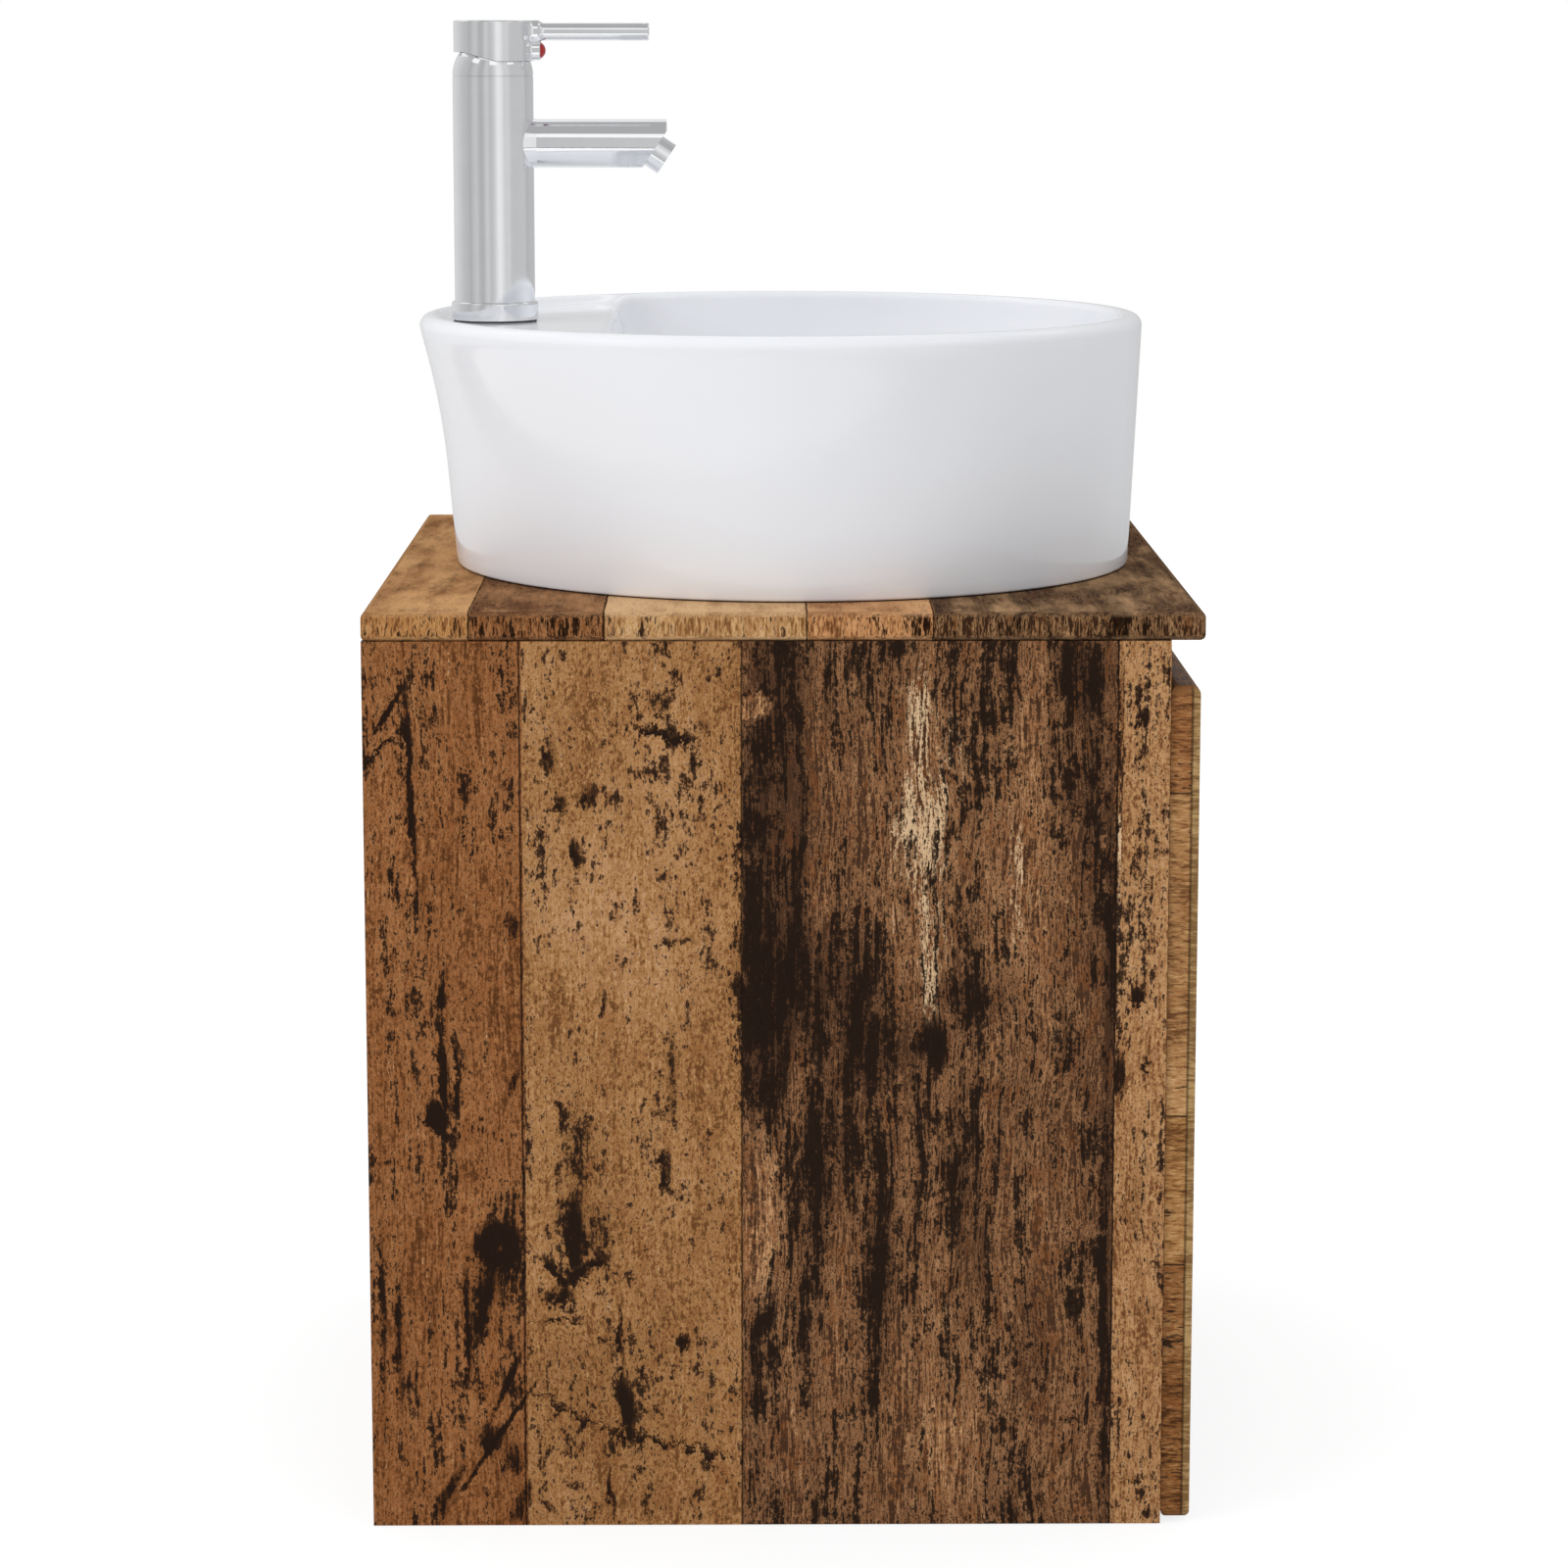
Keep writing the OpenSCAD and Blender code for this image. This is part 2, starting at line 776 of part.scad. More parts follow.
// The lever's neck: thick where it leaves the cap, flat on top, curving down to the rod.
module lever_neck() {
    neck_r = 6.3;
    neck_end = 26.8;
    hollow_r = 4;
    intersection() {
        translate([0, 0, lever_h]) rotate([90, 0, 0]) rotate_extrude() difference() {
            translate([0, 10]) square([neck_r, neck_end - 10]);
            translate([lever_r + hollow_r, neck_end]) circle(hollow_r);
        }
        translate([-10, -neck_end, cap_bottom]) cube([20, 20, cap_top - cap_bottom]);
    }
}

// What is cut away under the cap: level at the front, a slope, and level again at the back,
// where the cap goes down as the lever lifts.
module cap_underside() {
    slope_start = -3.5;
    slope = 14.5;
    translate([-30, -30, -eps]) cube([60, 60, cap_bottom + eps]);
    intersection() {
        translate([0, slope_start, cap_bottom]) rotate([slope, 0, 0])
            translate([-30, 0, -20]) cube([60, 60, 20]);
        translate([-30, slope_start, 0]) cube([60, 60, cap_bottom + cap_rise]);
    }
}

// The cap is hollowed by a sphere about the pivot, so it rides over the dome as it tips.
module lever_handle() {
    edge = 1;
    color("silver") at_tap() {
        difference() {
            union() {
                rotate_extrude() {
                    square([cap_r, cap_top - edge]);
                    square([cap_r - edge, cap_top]);
                    translate([cap_r - edge, cap_top - edge]) circle(edge);
                }
                // Index seat and the web between it and the neck
                translate([0, 0, button_h]) {
                    rod_y(10, button_end - 0.5, 5.2);
                    rod_y(button_end - 0.5, button_end, 5.2, 4.8);
                }
                translate([-4, -24, button_h]) cube([8, 14, lever_h - button_h]);
                lever_neck();
            }
            cap_underside();
            translate([0, 0, tap_body_h]) intersection() {
                sphere(tap_r + cap_gap);
                translate([0, 0, -1]) cylinder(h = 21.5, r = 30);
            }
            translate([0, 0, button_h]) rod_y(10, 22, 2.9);
            translate([0, 0, button_h]) rod_y(22, button_end + eps, 4.2);
        }
        // Boss that grips the stem, with the grub screw's thread
        translate([0, 0, tap_body_h]) difference() {
            translate([0, 0, 10.5]) cylinder(h = 12, r = boss_r);
            translate([-stem_w / 2, -stem_w / 2, 0]) cube([stem_w, stem_w, 18.5]);
            translate([0, 0, button_h - tap_body_h]) rod_y(0, 10, 2.5);
        }
        // Lever rod with a fine groove before its rounded tip
        translate([0, 0, lever_h]) {
            rod_y(15, lever_reach - 2.8, lever_r);
            rod_y(lever_reach - 3, lever_reach - 2, lever_r - 0.35);
            rod_y(lever_reach - 2.2, lever_reach - 0.5, lever_r);
            rod_y(lever_reach - 0.5, lever_reach, lever_r, lever_r - 0.5);
        }
    }
}

module index_button() {
    color("red") at_tap() translate([0, 0, button_h]) {
        rod_y(18.6, 22, 2.8);
        rod_y(22, button_end, 4.15);
        intersection() {
            translate([0, -button_end + 1.84, 0]) sphere(4.54);
            rod_y(button_end, 30, 4.15);
        }
    }
}

module handle_grub_screw() {
    color("dimgray") at_tap() translate([0, 0, button_h]) difference() {
        rod_y(stem_w / 2, 9.5, 2.5);
        rod_y(7, 10, 1.25);
    }
}

module tap_stud() {
    color("silver") at_tap() translate([0, stud_y, -38]) cylinder(h = 53, r = stud_r);
}

// A C-shaped plate: the stud passes its web, the hoses its mouth.
module horseshoe(h, r) {
    difference() {
        cylinder(h = h, r = r);
        translate([-13.5, -4, -eps]) cube([27, 40, h + 2 * eps]);
        translate([0, stud_y, -eps]) cylinder(h = h + 2 * eps, r = stud_r + 0.2);
    }
}

module horseshoe_gasket() {
    color("dimgray") at_tap() translate([0, 0, -deck_t - 3]) horseshoe(3, 22.5);
}

module horseshoe_plate() {
    color("silver") at_tap() translate([0, 0, -deck_t - 5]) horseshoe(2, 23);
}

module tap_nut() {
    color("goldenrod") at_tap() translate([0, stud_y, -deck_t - 13]) difference() {
        cylinder(h = 8, r = 7.2, $fn = 6);
        translate([0, 0, -eps]) cylinder(h = 9 + eps, r = stud_r);
    }
}

// ---------- waste and trap ----------

module at_drain() {
    translate([0, drain_y, 0]) children();
}

module waste_body() {
    color("silver") at_drain() {
        translate([0, 0, waste_end_z]) tube(waste_r, waste_r - 2.5, drain_z - waste_end_z + 1);
        translate([0, 0, drain_z]) tube(30.5, waste_r - 2.5, 2.5);
        // Spider that carries the click cartridge
        translate([0, 0, drain_z - 30]) difference() {
            union() {
                cylinder(h = 6, r = 7);
                for (a = [0 : 60 : 120]) rotate(a)
                    translate([-waste_r + 1, -1.5, 0]) cube([2 * waste_r - 2, 3, 4]);
            }
            translate([0, 0, -eps]) cylinder(h = 8, r = 4.05);
        }
    }
}

module waste_gasket() {
    color("dimgray") at_drain() translate([0, 0, drain_z - ceramic_t - 4]) tube(29, waste_r, 4);
}

module waste_nut() {
    color("goldenrod") at_drain() translate([0, 0, drain_z - ceramic_t - 13]) difference() {
        cylinder(h = 9, r = 32, $fn = 8);
        translate([0, 0, -eps]) cylinder(h = 10 + eps, r = waste_r);
    }
}

// Low dome on a stem that slides through the spider.
module waste_plug() {
    under = drain_z + 2.6;
    dome_r = 90;
    color("silver") at_drain() {
        rotate_extrude() intersection() {
            translate([0, under]) square([28, 6]);
            translate([0, under + 5.5 - dome_r]) circle(dome_r, $fn = 256);
        }
        translate([0, 0, drain_z - 42]) cylinder(h = under + 1 - drain_z + 42, r = 4);
    }
}

module trap_inlet_nut() {
    color("silver") at_drain() translate([0, 0, waste_end_z - 12]) difference() {
        union() {
            cylinder(h = 24, r = 23.6);
            for (a = [0 : 30 : 330]) rotate(a) translate([23.2, 0, 2]) cylinder(h = 20, r = 1.6);
        }
        translate([0, 0, -eps]) cylinder(h = 13, r = pipe_r);
        translate([0, 0, 12]) cylinder(h = 13, r = waste_r);
        translate([0, 0, 9]) cylinder(h = 4, r = 20);
    }
}

module trap_inlet_pipe() {
    foot = outlet_z - 55;
    color("silver") at_drain() {
        translate([0, 0, foot]) tube(pipe_r, pipe_r - pipe_wall, waste_end_z - foot);
        translate([0, 0, waste_end_z - 3]) tube(20, pipe_r - pipe_wall, 3);
    }
}

module trap_body() {
    color("silver") at_drain() translate([0, 0, outlet_z]) difference() {
        union() {
            translate([0, 0, -25]) cylinder(h = 51, r = trap_r);
            translate([0, 0, -33]) cylinder(h = 9, r = trap_r - 2);
            translate([0, 0, 26]) cylinder(h = 6, r1 = trap_r, r2 = 24);
            translate([0, 0, 31]) cylinder(h = 16, r = 22);
            rotate([0, 0, 180]) rod_y(0, 52, 20);
            rotate([0, 0, 180]) rod_y(34, 52, 22);
        }
        translate([0, 0, -34]) cylinder(h = 58, r = trap_r - 2 - trap_wall);
        translate([0, 0, -30]) cylinder(h = 90, r = pipe_r);
        rotate([0, 0, 180]) rod_y(20, 60, pipe_r);
    }
}

module trap_cup() {
    depth = 52;
    color("silver") at_drain() translate([0, 0, outlet_z - 25 - depth]) difference() {
        union() {
            translate([0, 0, 6]) cylinder(h = depth - 6, r = trap_r + 1);
            cylinder(h = 6, r1 = trap_r - 5, r2 = trap_r + 1);
            for (a = [0 : 20 : 340]) rotate(a)
                translate([trap_r + 0.6, 0, 24]) cylinder(h = depth - 28, r = 1.5);
        }
        translate([0, 0, depth - 8]) cylinder(h = 10, r = trap_r - 2);
        translate([0, 0, trap_wall]) cylinder(h = depth, r = trap_r - 2 - trap_wall);
    }
}

module trap_outlet_pipe() {
    free_end = drain_from_wall - 1;
    color("silver") at_drain() translate([0, 0, outlet_z]) rotate([0, 0, 180]) difference() {
        union() {
            rod_y(32, free_end, pipe_r);
            // Bead that stops the pipe in the wall's socket
            rod_y(free_end - 61, free_end - 59, pipe_r + 1.2);
        }
        rod_y(31, drain_from_wall, pipe_r - pipe_wall);
    }
}

side_panel_left();
side_panel_right();
bottom_panel();
top_board();
rear_top_rail();
rear_bottom_rail();
front_stretcher();
cam_discs();
cam_bolts();
wood_dowels();
slide_outer_left();
slide_outer_right();
slide_middle_left();
slide_middle_right();
slide_inner_left();
slide_inner_right();
ball_cage_outer_left();
ball_cage_outer_right();
ball_cage_inner_left();
ball_cage_inner_right();
slide_screws_cabinet();
slide_screws_drawer();
drawer_front();
drawer_subfront();
drawer_side_left();
drawer_side_right();
drawer_back_left();
drawer_back_right();
notch_wall_left();
notch_wall_right();
notch_wall_front();
drawer_bottom();
drawer_front_screws();
basin();
basin_seal();
tap_base_ring();
tap_gasket();
tap_body();
cartridge_cover();
aerator();
tap_stud();
horseshoe_gasket();
horseshoe_plate();
tap_nut();
cartridge();
cartridge_nut();
cartridge_turret();
cartridge_stem();
lever_handle();
index_button();
handle_grub_screw();
waste_body();
waste_gasket();
waste_nut();
waste_plug();
trap_inlet_nut();
trap_inlet_pipe();
trap_body();
trap_cup();
trap_outlet_pipe();
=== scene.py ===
import math

import bmesh
import bpy
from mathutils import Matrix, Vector


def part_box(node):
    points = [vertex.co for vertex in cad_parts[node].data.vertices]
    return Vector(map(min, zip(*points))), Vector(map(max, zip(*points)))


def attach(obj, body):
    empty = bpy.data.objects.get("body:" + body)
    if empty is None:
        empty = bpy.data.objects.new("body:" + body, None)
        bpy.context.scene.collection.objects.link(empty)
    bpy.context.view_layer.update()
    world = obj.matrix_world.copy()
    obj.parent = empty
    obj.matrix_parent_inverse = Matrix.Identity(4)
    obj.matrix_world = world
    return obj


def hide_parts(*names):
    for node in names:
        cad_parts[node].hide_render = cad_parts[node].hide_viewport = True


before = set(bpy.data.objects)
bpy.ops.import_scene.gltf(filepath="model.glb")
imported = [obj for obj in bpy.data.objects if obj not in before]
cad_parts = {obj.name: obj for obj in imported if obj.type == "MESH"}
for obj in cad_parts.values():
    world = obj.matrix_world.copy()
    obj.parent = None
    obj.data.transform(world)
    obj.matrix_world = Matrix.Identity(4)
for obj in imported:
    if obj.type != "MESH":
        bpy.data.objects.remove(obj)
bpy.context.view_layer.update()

bl_info = {
    "name": "Old wood washstand",
    "version": (1, 0, 0),
    "blender": (4, 5, 0),
    "location": "View3D > Sidebar > Washstand",
    "description": "Dresses a washstand with old wood boards, a glazed basin and a chrome tap",
    "category": "Object",
}

MM = 0.001
WHITE = (1.0, 1.0, 1.0, 1.0)


# ---------- settings ----------


def length(name, description, default):
    """A setting in metres."""
    return bpy.props.FloatProperty(
        name=name, description=description, default=default, min=0.0, max=10.0,
        unit="LENGTH", precision=4,
    )


def colour(name, description, hex_code):
    """A setting that holds a colour."""
    return bpy.props.FloatVectorProperty(
        name=name, description=description, default=tone(hex_code)[:3], size=3,
        min=0.0, max=1.0, subtype="COLOR",
    )


def tone(hex_code):
    """A colour written as six hex digits, as the linear colour that a shader takes."""
    parts = [int(hex_code[i : i + 2], 16) / 255 for i in (0, 2, 4)]
    return tuple(
        p / 12.92 if p <= 0.04045 else ((p + 0.055) / 1.055) ** 2.4 for p in parts
    ) + (1.0,)


def chosen(name):
    """One of the washstand's chosen colours, as a shader takes it."""
    return tuple(getattr(bpy.context.scene.washstand_colours, name)) + (1.0,)


def shade(base, *factors):
    """A colour with its red, green and blue multiplied, all by one factor or each by its own."""
    if len(factors) == 1:
        factors *= 3
    return tuple(c * k for c, k in zip(base[:3], factors)) + (1.0,)


class WashstandSizes(bpy.types.PropertyGroup):
    rim_rounding: length("Rim rounding", "Rounding of the rim's outer edge", 0.006)
    mouth_rounding: length("Mouth rounding", "Rounding where the bowl meets the rim", 0.004)
    rim_width: length("Rim width", "Width of the rim inside its outer edge", 0.012)
    rim_step: length("Rim step", "Height of the rim above the tap deck", 0.0045)
    ceramic_thickness: length("Ceramic thickness", "Thickness of the basin's wall", 0.009)
    deck_front: length("Deck depth", "From the wall to the front of the tap deck", 0.113)
    plank_joint: length("Plank joint", "Width of the dark line between two planks", 0.0008)


class WashstandColours(bpy.types.PropertyGroup):
    glaze: colour("Glaze", "Colour of the basin's glaze", "F2F3F6")
    chrome: colour("Chrome", "Colour of the tap's plating", "EDEEF0")
    ink: colour("Old dirt", "Colour of the dirt in the wood's pores and cracks", "1E120B")
    drawer_board: colour("Drawer board", "Colour of the drawer box's boards", "D9D4CB")
    zinc: colour("Zinc", "Colour of the slides and screws", "B9BDC2")
    brass: colour("Brass", "Colour of the nuts", "C79A4B")
    floor: colour("Floor", "Colour of the floor", "F4F4F4")


# ---------- finishes ----------


def of_two(operation):
    """The method that works out one operation on a value and another."""
    return lambda self, other: self.sums(operation, self, other)


class Value:
    """A number or colour inside a finish. Sums on it add the nodes that work them out."""

    def __init__(self, finish, socket):
        self.finish = finish
        self.socket = socket

    def sums(self, operation, first, second=0.0):
        """One node of arithmetic on numbers."""
        return self.finish.node("Math", {"operation": operation}, {0: first, 1: second})

    __add__ = __radd__ = of_two("ADD")
    __sub__ = of_two("SUBTRACT")
    __mul__ = __rmul__ = of_two("MULTIPLY")
    __truediv__ = of_two("DIVIDE")
    most = of_two("MAXIMUM")

    def __rsub__(self, other):
        return self.sums("SUBTRACT", other, self)

    def __abs__(self):
        return self.sums("ABSOLUTE", self)

    def part(self, axis):
        """One of the three numbers of a place or a colour."""
        return self.finish.node("SeparateXYZ", {}, {0: self}, axis)


class Finish:
    """The node tree of a material, or of the world, under construction."""

    def __init__(self, name, owner=None):
        self.material = owner or bpy.data.materials.new(name)
        self.material.use_nodes = True
        self.tree = self.material.node_tree
        self.tree.nodes.clear()

    def node(self, kind, settings, sockets, out=0):
        """Adds one node: its settings first, then the values or links of its sockets."""
        made = self.tree.nodes.new("ShaderNode" + kind)
        for name, value in settings.items():
            if name == "stops":
                self.set_stops(made.color_ramp, value)
            elif name == "between":
                made.color_ramp.interpolation = value
            else:
                setattr(made, name, value)
        for name, value in sockets.items():
            if isinstance(value, Value):
                self.tree.links.new(value.socket, made.inputs[name])
            else:
                made.inputs[name].default_value = value
        return Value(self, made.outputs[out]) if len(made.outputs) else None

    @staticmethod
    def set_stops(ramp, stops):
        while len(ramp.elements) < len(stops):
            ramp.elements.new(1.0)
        for element, (position, value) in zip(ramp.elements, stops):
            element.position = position
            element.color = value

    def coordinates(self, kind):
        """Where a point is (Object), or which way the surface faces there (Normal)."""
        return self.node("TexCoord", {}, {}, kind)

    def place(self):
        """Where a point is on the object, in millimetres."""
        where = self.coordinates("Object")
        return self.node("VectorMath", {"operation": "SCALE"}, {0: where, "Scale": 1 / MM})

    def point(self, x, y, z):
        """Three numbers as one place."""
        return self.node("CombineXYZ", {}, {0: x, 1: y, 2: z})

    def noise(self, place, detail=3.0, roughness=0.55, scale=1.0):
        """Soft cloudy noise from 0 to 1, mostly near 0.5."""
        return self.node(
            "TexNoise",
            {"noise_dimensions": "3D"},
            {"Vector": place, "Scale": scale, "Detail": detail, "Roughness": roughness},
            "Fac",
        )

    def vectors(self, operation, first, second=(0.0, 0.0, 0.0), out=0):
        """One node of arithmetic on places."""
        return self.node("VectorMath", {"operation": operation}, {0: first, 1: second}, out)

    def ease(self, value, low, high, at_low=0.0, at_high=1.0):
        """Goes gently from one value to another as value goes from low to high."""
        return self.node(
            "MapRange",
            {"interpolation_type": "SMOOTHSTEP"},
            {"Value": value, "From Min": low, "From Max": high, "To Min": at_low,
             "To Max": at_high},
        )

    def blend(self, amount, first, second):
        """The first colour where amount is 0, the second where it is 1."""
        return self.node(
            "Mix",
            {"data_type": "RGBA", "clamp_factor": True},
            {0: amount, 6: first, 7: second},
            2,
        )

    def steps(self, value, stops, between="CONSTANT"):
        """A table of colours along a value from 0 to 1."""
        return self.node("ValToRGB", {"stops": stops, "between": between}, {0: value})

    def bump(self, height, distance, strength):
        """A surface raised by height times distance, in metres."""
        return self.node(
            "Bump", {}, {"Height": height, "Distance": distance, "Strength": strength},
            "Normal",
        )

    def ends(self, shader):
        """Leads a shader out of the finish."""
        self.node("OutputMaterial", {}, {"Surface": shader})
        return self.material

    def surface(self, **sockets):
        """Ends the finish with one surface shader."""
        named = {name.replace("_", " "): value for name, value in sockets.items()}
        return self.ends(self.node("BsdfPrincipled", {}, named))


def wear(material, *node_names):
    """Gives nodes of the frame their material."""
    for name in node_names:
        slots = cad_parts[name].data.materials
        slots.clear()
        slots.append(material)


def as_object(context, name, bm):
    """Makes a finished bmesh an object of the scene."""
    mesh = bpy.data.meshes.new(name)
    bm.to_mesh(mesh)
    bm.free()
    made = bpy.data.objects.new(name, mesh)
    context.scene.collection.objects.link(made)
    return made


# ---------- old wood ----------

# Width of the table that the planks are looked up in, more than any board's, and how far
# apart in the log two planks lie whose last numbers differ by 1
TABLE_WIDTH = 440.0
LOG_LENGTH = 900.0
# The range that a plank's pits are held in, because a table holds only 0 to 1
PITS_LOW, PITS_RANGE = -4.0, 8.0

# Each plank: where it starts across the board in mm, its dark, middle and light colour, how
# pitted it is, how streaked it is and which part of the log it came from.
SIDE_PLANKS = [
    (0.0, "5A3519", "976138", "BC8656", -1.4, 0.75, 0.13),
    (74.5, "6C4424", "AE7E4D", "CCA076", -1.2, 0.40, 0.57),
    (180.0, "49301F", "986A46", "D8A877", -0.5, 1.15, 0.31),
    (359.0, "704628", "BA8A5A", "DEB284", -1.2, 0.65, 0.83),
]
TOP_PLANKS = [
    (0.0, "6A4226", "B4804C", "D6A672", -1.3, 0.45, 0.71),
    (51.0, "4A2C19", "9E6A42", "C49264", -0.75, 0.65, 0.22),
    (115.0, "805632", "C49864", "E2BC90", -1.8, 0.40, 0.47),
    (211.0, "714729", "C48C5B", "DCAA7A", -1.4, 0.50, 0.92),
    (271.0, "3B271A", "906A48", "D2A87A", -0.6, 1.00, 0.05),
]
FRONT_PLANKS = [
    (0.0, "4A2C16", "8E5E34", "BA8C5C", -0.9, 0.70, 0.39),
    (130.0, "664022", "A87846", "C8A06C", -1.3, 0.60, 0.64),
    (204.0, "70492A", "B48554", "D2A876", -1.5, 0.45, 0.11),
    (362.0, "5A361D", "9C683D", "C08F5E", -1.1, 0.65, 0.88),
]
HIDDEN_PLANKS = [
    (0.0, "5F3D23", "A06F42", "BC8E5E", -1.3, 0.50, 0.42),
    (96.0, "4C301C", "885A34", "AA7B4E", -1.0, 0.60, 0.77),
    (220.0, "6A4629", "A8784A", "C09566", -1.5, 0.45, 0.18),
]

# Marks of age on the left side: across, up, half width, half height in mm, lean in degrees,
# and how much dirt the place holds. Below zero, the place is worn clean.
LEFT_MARKS = [
    # first plank: cracks, chips and a knot
    (22.5, 361, 2, 62, 2.7, 4.6),
    (12, 402, 1.4, 15, -32, 4.4),
    (9.5, 385, 1.3, 9, -50, 4.2),
    (70.5, 300, 5, 6.5, 0, 4),
    (37, 265, 3.6, 4.5, 0, 4),
    (36.5, 228, 2.4, 24, 6, 3.6),
    (43.5, 224, 1.8, 18, 2, 3.6),
    (70, 222, 2.2, 15, -24, 3.4),
    (32.5, 205, 5, 8.5, 20, 5.5),
    (61.5, 140, 12, 13, 0, 5.6),
    (63, 141, 4.5, 5, 0, -5.4),
    (58, 126, 12, 30, -10, 2),
    (55, 112, 4, 22, -14, 2.6),
    (14, 90, 2.6, 40, 0, 2.6),
    (6, 105, 1.8, 60, 0, 3),
    (46, 112, 1.8, 22, 0, 4),
    (47, 92, 2.2, 22, 0, 4.2),
    (30, 112, 4, 26, 0, 1.6),
    (66, 72, 2, 20, -24, 4),
    (58, 40, 1.4, 44, -34, 3.8),
    (58, 44, 8, 8, 0, 3.6),
    (68, 33, 7, 10, 0, 2.8),
    (37, 17, 3.4, 17, -28, 4),
    (72.5, 12, 4, 12, -20, 3.6),
    (16, 330, 14, 60, 0, -0.5),
    # second plank: chips near the top, a smeared stain, scratches
    (143, 392, 2, 20, 75, 4),
    (139, 406, 7, 7, 0, 1.8),
    (162, 396, 5, 5, 0, 1.8),
    (107, 362, 5, 8, -20, 2.8),
    (94, 358, 4, 6, 0, 2.6),
    (101, 333, 4, 9, 10, 2.8),
    (89, 381, 4, 12, 0, 1.6),
    (150, 291, 13, 2.4, 0, 1.6),
    (114, 263, 2.2, 7, 0, 3),
    (120, 290, 42, 60, 0, -0.9),
    (98.4, 146, 4.5, 22, 0, 3.4),
    (104, 148, 20, 24, 0, 1.6),
    (101, 190, 15, 26, 0, 1.3),
    (104, 128, 3.2, 15, -58, 4.2),
    (89, 127, 3, 11, 34, 4.6),
    (92, 116, 8, 5, 0, 3),
    (146, 222, 3.5, 32, 0, 1.9),
    (143, 180, 3.2, 14, 0, 2.2),
    (151.7, 93, 4.2, 4.6, 0, 4),
    (90, 102.6, 17, 1.1, 0, 3.4),
    (120, 60, 60, 60, 0, 0.75),
    (97, 58, 1.2, 30, 64, 3.4),
    (121, 96, 1.2, 26, 0, 3.2),
    (123, 58, 4.4, 17, 4, 4.6),
    (116, 16, 1.6, 18, 6, 3.6),
    (150, 40, 1.4, 34, 78, 3),
    # third plank: a black zone, a pale strip worn clean, a dark knot
    (196, 372, 22, 110, 0, 2.3),
    (212, 270, 46, 34, -24, 1.9),
    (250, 236, 30, 20, 20, 1.7),
    (222, 190, 20, 60, -12, 1.3),
    (246, 120, 10, 70, 0, 1.3),
    (290, 150, 12, 60, 6, 1.3),
    (322, 90, 12, 50, 0, 1.4),
    (278, 40, 14, 36, 0, -1.2),
    (196, 262, 20, 40, 0, 1.4),
    (190, 232, 14, 36, 0, 2.6),
    (187, 405, 7.5, 7.5, 0, -6),
    (190, 150, 11, 46, 0, -2.6),
    (272, 240, 8, 11, 0, 4.4),
    (290, 262, 26, 16, 0, 1.5),
    (316, 330, 24, 100, 0, -1),
    (300, 70, 40, 90, 0, -0.6),
    (345, 300, 12, 130, 0, 0.9),
    (343, 418, 15, 24, 0, 2),
    (340, 376, 16, 60, 0, 0.8),
    (268, 345, 20, 90, 0, -1.2),
    (356, 210, 3.4, 240, 0, 2.6),
    (250, 60, 60, 70, 0, -0.35),
    # fourth plank: a broken dark edge and a few stains
    (360.5, 380, 1.6, 60, 0, 3),
    (371, 399, 3.4, 3.4, 0, 4),
    (371, 265, 3.8, 6, 0, 3.6),
    (375, 232, 3.4, 3, 0, 3.6),
    (362, 225, 3, 14, 0, 4),
    (368, 160, 7, 26, 0, 1.2),
    (371, 22, 11, 0.9, 0, 2.6),
]
# Where the third plank is worn down to pale wood: across, up, half width, half height, lean
# and how far
LEFT_PALE = [
    (262, 350, 15, 62, -4, 2.4),
    (258, 352, 6, 24, -8, 1),
    (281, 392, 8, 34, 0, 2.4),
    (264, 412, 9, 26, 0, 2.3),
    (276, 352, 6, 30, 0, 1.7),
    (272, 300, 9, 56, 0, 2.3),
    (270, 262, 6, 40, 0, 1.7),
    (268, 190, 6, 30, 0, 1.7),
    (311, 322, 6, 44, 0, 2.1),
    (292.5, 312, 2, 2.8, 0, 3.6),
    (360.5, 330, 1.2, 70, 0, 3.2),
]


class Grain:
    """Noise that follows the grain of a plank. Its numbers lie round 0, mostly within 1."""

    # How far the raw noise mostly strays from its middle
    spread = 1 / 15

    def __init__(self, finish, across, along, deep):
        self.finish = finish
        self.across = across
        self.along = along
        self.deep = deep

    def field(self, wide, long, detail, roughness):
        """Spots that are so many millimetres wide and long."""
        spot = self.finish.point(self.across / wide, self.along / long, self.deep / wide)
        return (self.finish.noise(spot, detail, roughness) - 0.5) / self.spread


def marks_of(f, u, v, marks):
    """The sum of soft spots, each centred, turned and stretched on its own. The sum so far
    rides along as a squashed third coordinate, so that the spots are worked out in turn."""
    total = 0.0
    for across_at, along_at, half_w, half_h, lean, depth in marks:
        local = f.node(
            "Mapping",
            {"vector_type": "TEXTURE"},
            {"Vector": f.point(u, v, total), "Location": (across_at, along_at, 0.0),
             "Rotation": (0.0, 0.0, math.radians(lean)), "Scale": (half_w, half_h, 1e6)},
        )
        far = f.vectors("LENGTH", local, out="Value")
        total = f.ease(far, 0.2, 1.3, depth, 0.0) + total
    return total


